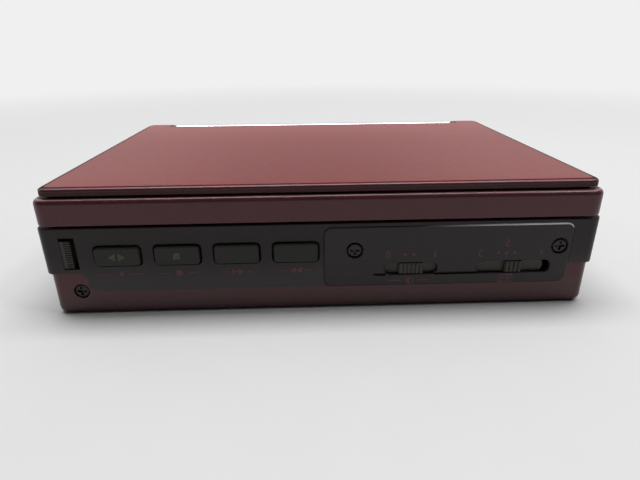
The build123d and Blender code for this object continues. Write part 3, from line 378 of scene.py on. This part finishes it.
def paintCase():
    # Satin paint: a fine speckle, a faint orange peel, and paler thin spots along the edges
    tones = tonesOf(casePaint)
    paint = Finish("casePaint")
    speckle = paint.span(paint.grain(casePaint["speckle"], detail=1.0), 0.35, 0.65)
    cloud = paint.grain(casePaint["cloud"], detail=3.0)
    body = paint.mixed(speckle * 0.5 + cloud * 0.5, tones["deep"], tones["colour"])
    patchy = paint.span(paint.grain(casePaint["patch"], detail=5.0, shift=3.1), 0.56, 0.70)
    wear = paint.edges(0.18, 0.29) * patchy
    x, y, z = paint.axes(paint.place)
    halfLong, halfDeep = casePaint["plateHalf"]
    # painted shade: a dark line on the tier's top around the plate's outline
    outside = (abs(x) - halfLong * mm).larger(abs(y) - halfDeep * mm)
    plateBorderShade = paint.between(outside, casePaint["plateBorderShadeEdge"], 1.0, 0.0)
    plateBorderShade = plateBorderShade * paint.between(z, casePaint["plateBorderShadeHeight"])
    plateBorderShade = plateBorderShade * paint.between(y, casePaint["plateBorderShadeBack"], 1.0, 0.0)
    above = paint.between(z, casePaint["grooveFoot"])
    # painted shade: the tier's side darkens downward toward the groove, and is rougher and less
    # metallic there
    low = paint.between(z, casePaint["grooveTop"], 1.0, 0.0) * above
    tier = paint.between(z, casePaint["tierHeight"], 1.0, casePaint["tierShare"])
    # painted highlight along the upper rims of the frame and the tier
    paintedHighlight = paint.upperRim() * (0.30 + cloud * 0.4) * tier
    worn = paint.mixed(wear * casePaint["wear"], body, tones["worn"])
    bright = paint.mixed(paintedHighlight, worn, tones["polished"])
    # painted shade on the lower body, fading out upwards
    nearTable = paint.between(z, casePaint["footHeight"], 0.6, 0.0)
    footShaded = paint.mixed(nearTable, bright, tones["foot"])
    grooveShaded = paint.mixed(low * 0.8, footShaded, tones["groove"])
    # painted light lifting the shaded foot of the tier
    grooveLight = above * paint.between(z, casePaint["grooveLightTop"], 0.9, 0.0)
    grooveLit = paint.mixed(grooveLight, grooveShaded, tones["grooveLight"])
    paint.set(
        colour=paint.mixed(plateBorderShade, grooveLit, tones["plateBorderShade"]),
        roughness=casePaint["roughness"] + cloud * 0.06 + wear * 0.12 + plateBorderShade * 0.6 + low * 0.45,
        specular=casePaint["specular"],
        metallic=(1 - low) * casePaint["metallic"],
    )
    size, depth = casePaint["peel"]
    paint.bumped(paint.grain(size), depth)
    return paint.material


plateCoat = {
    "colour": (144, 43, 37),
    "deep": (98, 24, 22),
    "worn": (150, 92, 84),
    "edge": (92, 18, 16),  # painted shade: darker where the sheet turns down over its rounded edges
    "turned": (132, 36, 34),  # painted shade: a redder band along the near edge, where the sheen falls off
    "nearShadeReach": (-39.9, -38.5),
    "centreShade": (130, 16, 11),  # painted shade: deeper red in the middle, where the lid shows little sheen
    "centreShadeDeep": (92, 8, 5),
    "centreShadeAlong": (8.0, 52.0),
    "centreShadeAcross": (-30.0, 34.0),
    "farSheen": (152, 74, 68),  # painted sheen: paler towards the hinge side
    "farSheenReach": (0.0, 42.0),
    "roughness": 0.38,
    "specular": 0.45,
    "fine": 0.30,
    "broad": 2.2,
    "patch": 3.0,
    "depth": 0.030,
}


def coatPlate():
    # The lid plate's coat: a dense fine grain like blasted metal under tinted lacquer
    tones = tonesOf(plateCoat)
    coat = Finish("plateCoat")
    fine = coat.grain(plateCoat["fine"])
    broad = coat.grain(plateCoat["broad"], detail=4.0, shift=1.7)
    speck = coat.span(fine, 0.32, 0.68)
    shade = speck * 0.6 + coat.span(broad, 0.15, 0.85) * 0.4
    body = coat.mixed(shade, tones["deep"], tones["colour"])
    patchy = coat.span(coat.grain(plateCoat["patch"], detail=5.0, shift=5.3), 0.52, 0.66)
    edge = coat.edges(0.04, 0.20)
    wear = coat.edges(0.12, 0.28) * patchy
    x, y, z = coat.axes(coat.place)
    # painted shade in the middle of the plate
    centre = coat.between(abs(x), plateCoat["centreShadeAlong"], 1.0, 0.0)
    centre = centre * coat.between(y, plateCoat["centreShadeAcross"], 1.0, 0.0)
    # painted sheen, paler towards the hinge side
    farSheen = coat.mixed(coat.between(y, plateCoat["farSheenReach"]) * 0.6, body, tones["farSheen"])
    centreShadeTone = coat.mixed(shade, tones["centreShadeDeep"], tones["centreShade"])
    centreShade = coat.mixed(centre * 0.85, farSheen, centreShadeTone)
    # painted shade along the near edge; the band is also made partly metallic
    nearShadeMask = coat.between(y, plateCoat["nearShadeReach"], 0.9, 0.0)
    turned = coat.mixed(nearShadeMask, centreShade, tones["turned"])
    # painted shade on the plate's rounded edges
    edgeShaded = coat.mixed(edge * 0.8, turned, tones["edge"])
    coat.set(
        colour=coat.mixed(wear * 0.4, edgeShaded, tones["worn"]),
        roughness=plateCoat["roughness"] + speck * 0.08,
        metallic=nearShadeMask * 0.7,
        specular=plateCoat["specular"],
    )
    coat.bumped(fine * 0.7 + broad * 0.3, plateCoat["depth"])
    return coat.material


strip = {
    "colour": (232, 235, 240),
    "deep": (214, 218, 224),
    "hairline": (0.12, 160),  # across, and how many times longer along X
    "depth": 0.0015,
}


def polishStrip():
    # A bright drawn bar: hairlines along X in a mirror finish
    bar = Finish("stripPolish")
    across, longer = strip["hairline"]
    lines = bar.grain(across, stretch=(longer, 1, 1))
    bar.set(
        colour=bar.mixed(lines, linear(*strip["deep"]), linear(*strip["colour"])),
        metallic=1.0,
        roughness=0.10 + lines * 0.10,
    )
    bar.bumped(lines, strip["depth"])
    return bar.material


plastic = {
    "cloud": 6.0,
    "lint": (150, 146, 142),
    "lintSize": 0.55,
    "paintedGlint": (244, 240, 238),  # painted highlight on an upper edge towards the right end
    "paintedGlintAlong": (18.0, 50.0),
    "paintedGlintHeight": (17.0, 18.0),
    "floorSheen": (96, 90, 91),  # painted reflection of the floor: paler towards the table
    "floorSheenHeight": (5.5, 15.0),
}
moulded = {"grain": 0.28, "depth": 0.012, "polish": 0.10, "paintedGlint": 0.0, "floorSheen": 0.0}


def mould(name, colour, deep, roughness, specular, **changes):
    # Moulded plastic: an even spark-eroded grain, slightly polished on the edges by handling
    feel = {**moulded, **changes}
    part = Finish(name)
    grain = part.grain(feel["grain"])
    cloud = part.grain(plastic["cloud"], detail=3.0, shift=2.3)
    rub = part.edges(0.10, 0.28)
    shade = part.span(grain, 0.3, 0.7) * 0.5 + cloud * 0.5
    lint = part.span(part.grain(plastic["lintSize"], detail=1.0, shift=9.4), 0.80, 0.84) * 0.5
    x, y, z = part.axes(part.place)
    # painted highlight along the overlay's upper edge, towards its right end
    glintMask = part.upperRim(0.15) * part.between(x, plastic["paintedGlintAlong"])
    glintMask = glintMask * part.between(z, plastic["paintedGlintHeight"]) * feel["paintedGlint"]
    # painted floor reflection, paler towards the table
    floorSheenMask = part.between(z, plastic["floorSheenHeight"], feel["floorSheen"], 0.0)
    tone = part.mixed(shade, linear(*deep), linear(*colour))
    tone = part.mixed(glintMask, tone, linear(*plastic["paintedGlint"]))
    tone = part.mixed(floorSheenMask, tone, linear(*plastic["floorSheen"]))
    part.set(
        colour=part.mixed(lint, tone, linear(*plastic["lint"])),
        roughness=roughness + cloud * 0.08 - rub * feel["polish"],
        specular=specular,
    )
    part.bumped(grain, feel["depth"])
    return part.material


steel = {"brush": 0.16, "blotch": 3.5}  # across a brush line, and a patch of the plating


def plateSteel(name, colour, deep, roughness, stretch=(12, 1, 1), depth=0.004):
    # Sheet or drawn metal: short brush lines and a blotchy plating
    metal = Finish(name)
    lines = metal.grain(steel["brush"], stretch=stretch)
    blotch = metal.grain(steel["blotch"], detail=4.0, shift=4.1)
    metal.set(
        colour=metal.mixed(lines * 0.6 + blotch * 0.4, linear(*deep), linear(*colour)),
        metallic=1.0,
        roughness=roughness + blotch * 0.14 + lines * 0.06,
    )
    metal.bumped(lines, depth)
    return metal.material


brass = {
    "colour": (214, 178, 108),
    "deep": (188, 150, 84),
    "roughness": 0.24,
    "pitch": 0.22,  # from one turning ring to the next
    "blotch": 2.5,
    "depth": 0.003,
}


def turnBrass(node):
    # Turned metal: fine rings round the node's own upright axis
    low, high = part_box(node)
    middle = (low + high) / 2
    metal = Finish(node + "Brass")
    x, y, z = metal.axes(metal.place)
    across = x - middle.x
    along = y - middle.y
    radius = (across * across + along * along) ** 0.5
    ring = (radius * (2 * math.pi / (brass["pitch"] * mm))).sine() * 0.5 + 0.5
    blotch = metal.grain(brass["blotch"], detail=4.0)
    shade = ring * 0.5 + blotch * 0.5
    metal.set(
        colour=metal.mixed(shade, linear(*brass["deep"]), linear(*brass["colour"])),
        metallic=1.0,
        roughness=brass["roughness"] + blotch * 0.12,
    )
    metal.bumped(ring, brass["depth"])
    return metal.material


rubber = {
    "colour": (46, 45, 44),
    "deep": (28, 28, 28),
    "roughness": 0.72,
    "specular": 0.3,
    "grain": 0.22,
    "band": 2.4,
    "depth": 0.02,
}


def wearRubber():
    # Ground rubber: matt, a little grey where it has been rubbed
    surface = Finish("groundRubber")
    grain = surface.grain(rubber["grain"], detail=3.0)
    band = surface.grain(rubber["band"], detail=3.0, stretch=(1, 1, 0.4), shift=6.0)
    dusted = surface.span(grain * 0.5 + band * 0.5, 0.45, 0.65)
    surface.set(
        colour=surface.mixed(dusted, linear(*rubber["deep"]), linear(*rubber["colour"])),
        roughness=rubber["roughness"] + grain * 0.15,
        specular=rubber["specular"],
    )
    surface.bumped(grain, rubber["depth"])
    return surface.material


board = {
    "mask": (24, 62, 38),
    "track": (46, 98, 58),
    "roughness": 0.26,
    "specular": 0.5,
    "lane": 3.2,
    "tracks": 9.0,  # in the range of the lanes' noise
    "fine": 0.4,
    "depth": 0.03,
}


def maskBoard():
    # Solder mask over copper: tracks show as slightly paler, raised lanes
    surface = Finish("solderMask")
    lane = surface.grain(board["lane"], detail=1.0, stretch=(3, 1, 1), shift=7.7)
    tracks = (lane * board["tracks"]).fraction()
    copper = surface.span(abs(tracks - 0.5), 0.26, 0.32)
    fine = surface.grain(board["fine"])
    shade = copper * 0.8 + fine * 0.2
    surface.set(
        colour=surface.mixed(shade, linear(*board["mask"]), linear(*board["track"])),
        roughness=board["roughness"] + fine * 0.08,
        specular=board["specular"],
    )
    surface.bumped(copper, board["depth"])
    return surface.material


plastics = {
    "key_black": ("keyPlastic", (50, 50, 46), (42, 42, 39), 0.50, 0.24),
    "black_panel": ("panelPlastic", (50, 43, 44), (42, 36, 37), 0.44, 0.24),
    "black_overlay": ("overlayPlastic", (54, 47, 48), (46, 40, 41), 0.40, 0.26),
    "knob_black": ("knobPlastic", (66, 58, 50), (48, 43, 38), 0.42, 0.34),
    "deck_black": ("deckPlastic", (38, 38, 40), (30, 30, 32), 0.55, 0.25),
    "gear_white": ("gearNylon", (222, 218, 204), (204, 199, 184), 0.42, 0.4),
    "spindle_black": ("spindlePlastic", (44, 44, 44), (36, 36, 36), 0.36, 0.35),
    "guide_plastic": ("guidePlastic", (206, 202, 190), (190, 186, 172), 0.40, 0.4),
    "board_black": ("partPlastic", (42, 42, 44), (30, 30, 32), 0.42, 0.35),
}
plasticFeels = {
    "black_panel": {"polish": 0.2, "floorSheen": 0.36},
    "black_overlay": {"grain": 0.22, "depth": 0.008, "polish": 0.22, "paintedGlint": 1.0},
    "deck_black": {"grain": 0.34, "depth": 0.02},
    "gear_white": {"grain": 0.3, "depth": 0.006},
}
metals = {
    "dark_screw": ("blackedSteel", (74, 73, 70), (42, 41, 41), 0.34),
    "chassis_steel": ("zincPlate", (196, 194, 184), (168, 166, 158), 0.30),
    "polished_steel": ("groundSteel", (206, 206, 208), (180, 180, 184), 0.14, (1, 1, 9), 0.002),
    "head_metal": ("headMetal", (198, 198, 200), (170, 170, 174), 0.12, (1, 1, 14), 0.0015),
    "motor_can": ("motorCan", (186, 186, 184), (158, 158, 158), 0.28),
    "spring_metal": ("springMetal", (206, 200, 186), (176, 170, 158), 0.24),
}


def makeFinishes():
    finishes = {
        "burgundy_case": paintCase(),
        "burgundy_plate": coatPlate(),
        "glossy_strip": polishStrip(),
        "roller_rubber": wearRubber(),
        "board_green": maskBoard(),
    }
    for slot, look in plastics.items():
        finishes[slot] = mould(*look, **plasticFeels.get(slot, {}))
    for slot, look in metals.items():
        finishes[slot] = plateSteel(*look)
    for name, node in nodes.items():
        slot = node.material_slots[0]
        if slot.material.name in finishes:
            slot.material = finishes[slot.material.name]
        else:
            slot.material = turnBrass(name)


makeFinishes()
print("finishes given to every node")


# Printed and raised signs

ink = {
    "burgundy": ((110, 66, 80), (84, 56, 66)),
    "white": ((150, 140, 138), (118, 108, 106)),
    "depth": 0.03,
    "line": 0.24,
    "worn": 0.5,  # across the thin spots
    "roughness": 0.5,
    "specular": 0.25,
    "grain": (0.2, 0.004),  # its size and depth
}
signFoot = 0.02  # how far a sign goes into its face
faceAt = {"panel": -41.8, "overlay": -42.0, "key": -42.6, "end": 60.5, "door": 41.5, "deck": 16.8}


def gridFaces(rows, count, closed):
    # Quads between neighbouring rows of a grid whose points are numbered row by row
    steps = np.arange(count if closed else count - 1)
    row, step = np.meshgrid(np.arange(rows - 1), steps, indexing="ij")
    after = (step + 1) % count
    here = row * count
    beyond = here + count
    corners = (here + step, here + after, beyond + after, beyond + step)
    return np.stack(corners, axis=-1).reshape(-1, 4).tolist()


def pad(outline, depth):
    # A filled convex shape: ring r is the outline shrunk to its share about the middle
    outline = np.array(outline, dtype=float)
    middle = outline.mean(axis=0)
    shares = np.array((1.0, 1.0, 0.94, 0.5))[:, None, None]
    flat = middle + (outline - middle) * shares
    depths = np.array((-signFoot, depth * 0.6, depth, depth))[:, None]
    points = np.dstack((flat, np.broadcast_to(depths, flat.shape[:2])))
    count = len(outline)
    top = list(range(3 * count, 4 * count))
    return points.reshape(-1, 3), gridFaces(4, count, True) + [top]


def stroke(path, width, depth, closed=False):
    # A flat line: half the width to each side of the path, as foot, rim, rim and foot across it
    path = np.array(path, dtype=float)
    ends = (path[-1:], path[:1]) if closed else (path[:1], path[-1:])
    before = np.vstack((ends[0], path[:-1]))
    after = np.vstack((path[1:], ends[1]))
    along = after - before
    along /= np.linalg.norm(along, axis=1)[:, None]
    steps = path - before
    moving = np.linalg.norm(steps, axis=1)[:, None] > 0
    into = np.where(moving, steps, after - path)
    into /= np.linalg.norm(into, axis=1)[:, None]
    stretch = 1 / np.maximum((along * into).sum(axis=1), 0.5)
    side = np.column_stack((-along[:, 1], along[:, 0])) * stretch[:, None]
    offsets = np.array((-0.5, -0.5, 0.5, 0.5))[None, :, None] * width
    flat = path[:, None, :] + side[:, None, :] * offsets
    depths = np.array((-signFoot, depth, depth, -signFoot))[None, :]
    points = np.dstack((flat, np.broadcast_to(depths, flat.shape[:2])))
    faces = gridFaces(len(path) + closed, 4, False)
    if closed:
        faces = (np.array(faces) % (4 * len(path))).tolist()
    else:
        last = 4 * (len(path) - 1)
        faces += [[0, 1, 2, 3], [last + 3, last + 2, last + 1, last]]
    return points.reshape(-1, 3), faces


def arc(x, y, radius, first=0, last=360, tall=1.0, count=20):
    # Points on an ellipse: angle from first to last in degrees, height times tall
    turns = np.radians(np.linspace(first, last, count, endpoint=last - first < 360))
    return np.column_stack((x + radius * np.cos(turns), y + radius * tall * np.sin(turns)))


def box(x, y, width, height):
    return np.array(((-1, -1), (1, -1), (1, 1), (-1, 1))) * (width / 2, height / 2) + (x, y)


def triangle(x, y, size, way=1):
    # Points to the right, or with a way of -1 to the left
    corners = np.array(((-0.4, 0.5), (-0.4, -0.5), (0.5, 0.0))) * (size * way, size * way)
    return corners + (x, y)


def moved(parts, x, y):
    return [(points + (x, y, 0), faces) for points, faces in parts]


def digit(number, height, width, depth):
    # The figures that the scales use, in a plain rounded hand inside a box of the height
    h = height / 2
    r = height * 0.26
    hook = arc(0, h - r, r, 165, -30, count=12)
    upper = h * 0.47
    paths = {
        0: [arc(0, 0, r, tall=h / r, count=28)],
        1: [[(-r * 0.7, h * 0.62), (0, h), (0, -h)]],
        2: [np.vstack((hook, [(-r, -h), (r, -h)]))],
        3: [
            arc(0, upper, h * 0.53, 150, -90, count=12),
            arc(0, -upper, h * 0.53, 90, -150, count=12),
        ],
        8: [arc(0, upper, upper, count=20), arc(0, -h * 0.5, h * 0.5, count=20)],
    }
    return [stroke(path, width, depth, number in (0, 8)) for path in paths[number]]


def headphones(size, width, depth):
    # A headband with an ear pad at each end
    band = arc(0, -size * 0.15, size * 0.5, 0, 180, tall=1.1, count=18)
    ears = [
        pad(box(side * size * 0.46, -size * 0.32, size * 0.24, size * 0.42), depth)
        for side in (-1, 1)
    ]
    return [stroke(band, width, depth)] + ears


def cassette(size, width, depth):
    # A cassette's outline with its two hubs
    shell = stroke(box(0, 0, size, size * 0.58), width, depth, True)
    hubs = [
        stroke(arc(side * size * 0.22, 0, size * 0.11, count=16), width, depth, True)
        for side in (-1, 1)
    ]
    return [shell] + hubs


def halfDisc(size, width, depth):
    # A ring with its right half filled
    ring = stroke(arc(0, 0, size / 2, count=28), width, depth, True)
    return [ring, pad(arc(0, 0, size / 2, -90, 90, count=16), depth)]


def cross(x, y, size, width, depth):
    # A plus, as a flat bar and an upright one
    return [pad(box(x, y, size, width), depth), pad(box(x, y, width, size), depth)]


def polarity(size, width, depth):
    # A dot in an open ring between a minus and a plus
    ring = stroke(arc(0, 0, size * 0.3, 40, 320, count=20), width, depth)
    minus = pad(box(-size, 0, size * 0.4, width), depth)
    dot = pad(arc(0, 0, size * 0.11, count=12), depth)
    links = [
        stroke([(start * size, 0), (end * size, 0)], width, depth)
        for start, end in ((-0.7, -0.3), (0, 0.7))
    ]
    return [ring, minus, dot] + cross(size, 0, size * 0.4, width, depth) + links


def rules(length, reach, width, depth):
    # Two short lines, their middles at the reach to each side
    return [pad(box(side * reach, 0, length, width), depth) for side in (-1, 1)]


def keySign(sign, size, rule, depth):
    # Triangles for the way the tape runs, or a square for stop, between two short rules
    shapes = {
        "play": [triangle(0, 0, size)],
        "stop": [box(0, 0, size * 0.86, size * 0.86)],
        "back": [triangle(x * size, 0, size, -1) for x in (-0.42, 0.46)],
        "ahead": [triangle(x * size, 0, size) for x in (-0.46, 0.42)],
    }
    lines = rules(rule, rule / 2 + size * 1.25, ink["line"], depth)
    return [pad(shape, depth) for shape in shapes[sign]] + lines


# Each side's right and up, as its signs are read; the front's are read with the lid downwards
sides = {
    "front": ((-1, 0, 0), (0, 0, -1)),
    "right": ((0, 1, 0), (0, 0, 1)),
    "left": ((0, -1, 0), (0, 0, 1)),
    "top": ((1, 0, 0), (0, 1, 0)),
    "back": ((-1, 0, 0), (0, 0, 1)),
}


def addSign(name, parts, origin, side, material, body):
    # Lays the parts on a face: x along its right, y along its up and z out of it
    right, up = np.array(sides[side], dtype=float)
    axes = np.array((right, up, np.cross(right, up)))
    starts = np.cumsum([0] + [len(points) for points, faces in parts])
    places = np.vstack([points for points, faces in parts]) @ axes + origin
    faces = [
        [corner + start for corner in face]
        for start, (points, partFaces) in zip(starts, parts)
        for face in partFaces
    ]
    mesh = bpy.data.meshes.new(name)
    mesh.from_pydata((places * mm).tolist(), [], faces)
    mesh.materials.append(material)
    sign = bpy.data.objects.new(name, mesh)
    bpy.context.scene.collection.objects.link(sign)
    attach(sign, body)


def printInk(name, colour, deep):
    # Screen ink: worn through here and there, a little raised and dull
    paint = Finish(name)
    worn = paint.span(paint.grain(ink["worn"], detail=4.0), 0.34, 0.52)
    paint.set(
        colour=paint.mixed(worn, linear(*deep), linear(*colour)),
        roughness=ink["roughness"] + worn * 0.1,
        specular=ink["specular"],
    )
    size, depth = ink["grain"]
    paint.bumped(paint.grain(size), depth)
    return paint.material


keySigns = {
    "playLabel": ("play", -44.65, 3.0),
    "stopLabel": ("stop", -31.85, 2.2),
    "rewindLabel": ("back", -19.0, 1.6),
    "forwardLabel": ("ahead", -6.15, 1.6),
}
keySignSize = {"z": 10.0, "size": 1.55}
scales = {
    "tone": {"z": 13.3, "digits": ((0, 14.3), (1, 24.7)), "arrows": (18.2, 20.0), "x": 19.3},
    "mode": {"z": 13.2, "digits": ((3, 35.0), (1, 48.5)), "arrows": (39.0, 40.8, 42.6), "x": 41.1},
}
scaleSize = {
    "digit": 1.5,
    "arrow": 0.85,
    "upper": (40.7, 15.6),  # where the middle figure stands
    "belowZ": 6.95,
    "disc": (1.6, 0.2),
    "rule": (3.2, 3.2, 0.22),
    "cassette": (3.0, 0.2),
}


def printFront():
    burgundy = printInk("burgundyInk", *ink["burgundy"])
    depth = ink["depth"]

    def onOverlay(name, parts, x, z):
        place = (x, faceAt["overlay"], z)
        addSign(name, parts, place, "front", burgundy, "base")

    for name, (sign, x, rule) in keySigns.items():
        parts = keySign(sign, keySignSize["size"], rule, depth)
        place = (x, faceAt["panel"], keySignSize["z"])
        addSign(name, parts, place, "front", burgundy, "base")
    for name, scale in scales.items():
        parts = []
        for number, x in scale["digits"]:
            figure = digit(number, scaleSize["digit"], ink["line"], depth)
            parts += moved(figure, scale["x"] - x, 0)
        for x in scale["arrows"]:
            arrow = pad(triangle(0, 0, scaleSize["arrow"], -1), depth)
            parts += moved([arrow], scale["x"] - x, 0)
        onOverlay(name + "Scale", parts, scale["x"], scale["z"])
    onOverlay("modeUpper", digit(2, scaleSize["digit"], ink["line"], depth), *scaleSize["upper"])
    disc = halfDisc(*scaleSize["disc"], depth) + rules(*scaleSize["rule"], depth)
    onOverlay("toneSign", disc, scales["tone"]["x"], scaleSize["belowZ"])
    outline = cassette(*scaleSize["cassette"], depth)
    onOverlay("modeSign", outline, scales["mode"]["x"], scaleSize["belowZ"])


raised = {
    "depth": 0.10,
    "size": 1.9,
    "z": 14.37,
    # painted highlight: the raised signs are paler than the key
    "colour": (84, 84, 74),
    "deep": (66, 66, 58),
}


def raiseKeySigns():
    # Moulded signs that stand off the two keys at the left, paler than the key: a painted highlight
    paintedHighlight = printInk("keySignHighlight", raised["colour"], raised["deep"])
    size = raised["size"]
    both = [pad(triangle(side * size * 0.55, 0, size, side), raised["depth"]) for side in (-1, 1)]
    square = [pad(box(0, 0, size * 0.8, size * 0.8), raised["depth"])]
    for name, parts, x, body in (
        ("playKeyMark", both, -44.65, "play_key"),
        ("stopKeyMark", square, -31.8, "stop_key"),
    ):
        place = (x, faceAt["key"], raised["z"])
        addSign(name, parts, place, "front", paintedHighlight, body)


endSigns = {
    "jack": {"y": -18.5, "z": 6.5, "size": 3.0, "line": 0.3},
    "power": {"y": -17.0, "z": 6.5, "size": 2.2, "line": 0.26},
    "volume": {"y": -9.0, "z": 10.3, "digit": 1.5, "digitsAt": 6.0, "wedge": (4.5, 0.6)},
}


def printEnds():
    # A headphone sign and a volume wedge at the right end, a polarity sign at the left
    pale = printInk("paleInk", *ink["white"])
    depth = ink["depth"]
    jack = endSigns["jack"]
    place = (faceAt["end"], jack["y"], jack["z"])
    parts = headphones(jack["size"], jack["line"], depth)
    addSign("jackSign", parts, place, "right", pale, "base")
    power = endSigns["power"]
    place = (-faceAt["end"], power["y"], power["z"])
    parts = polarity(power["size"], power["line"], depth)
    addSign("powerSign", parts, place, "left", pale, "base")
    volume = endSigns["volume"]
    half, tall = volume["wedge"]
    parts = [pad(((-half, 0), (half, -tall), (half, tall)), depth)]
    for number, side in ((0, -1), (8, 1)):
        figure = digit(number, volume["digit"], ink["line"], depth)
        parts += moved(figure, side * volume["digitsAt"], 0)
    place = (faceAt["end"], volume["y"], volume["z"])
    addSign("volumeScale", parts, place, "right", pale, "base")


deck = {
    "size": 11.0,
    "line": 0.45,
    "middle": (0.0, 9.0),
    "arrows": 12.0,  # from the middle to each arrow
    "arrow": 2.4,
    "shaft": (1.9, 2.2, 0.5),  # its place behind the point, its length and its width
    "relief": 0.10,
    "colour": (62, 62, 64),
    "deep": (50, 50, 52),
}


def markDeck():
    # In the deck's moulding: which way round a cassette goes in, and the way the tape runs
    relief = printInk("deckRelief", deck["colour"], deck["deep"])
    parts = cassette(deck["size"], deck["line"], deck["relief"])
    behind, length, width = deck["shaft"]
    for side in (-1, 1):
        point = pad(triangle(0, 0, deck["arrow"], side), deck["relief"])
        shaft = pad(box(-behind * side, 0, length, width), deck["relief"])
        parts += moved([point, shaft], side * deck["arrows"], 0)
    place = (*deck["middle"], faceAt["deck"])
    addSign("deckSigns", parts, place, "top", relief, "base")


cell = {
    "size": (15.0, 4.2),
    "line": 0.28,
    "tip": (0.5, 0.7, 1.5),  # the pole's place past the end, its length and its height
    "signs": (2.2, 1.6),  # the plus and minus: their place from the end, and their size
    "gap": 0.9,  # half the gap between the two cells
    "middle": (0.0, 6.6),
}


def printBack():
    # Two cells end to end on the battery door, with the way round they go in
    pale = printInk("doorInk", *ink["white"])
    long, tall = cell["size"]
    depth = ink["depth"]
    width = cell["line"]
    past, tipLength, tipHeight = cell["tip"]
    inset, size = cell["signs"]
    outline = stroke(box(0, 0, long, tall), width, depth, True)
    tip = pad(box(long / 2 + past, 0, tipLength, tipHeight), depth)
    minus = pad(box(-long / 2 + inset, 0, size, width), depth)
    one = [outline, tip, minus] + cross(long / 2 - inset, 0, size, width, depth)
    parts = moved(one, -long / 2 - cell["gap"], 0) + moved(one, long / 2 + cell["gap"], 0)
    x, z = cell["middle"]
    place = (x, faceAt["door"], z)
    addSign("cellSigns", parts, place, "back", pale, "battery_door")


printFront()
raiseKeySigns()
printEnds()
markDeck()
printBack()
print("signs printed")
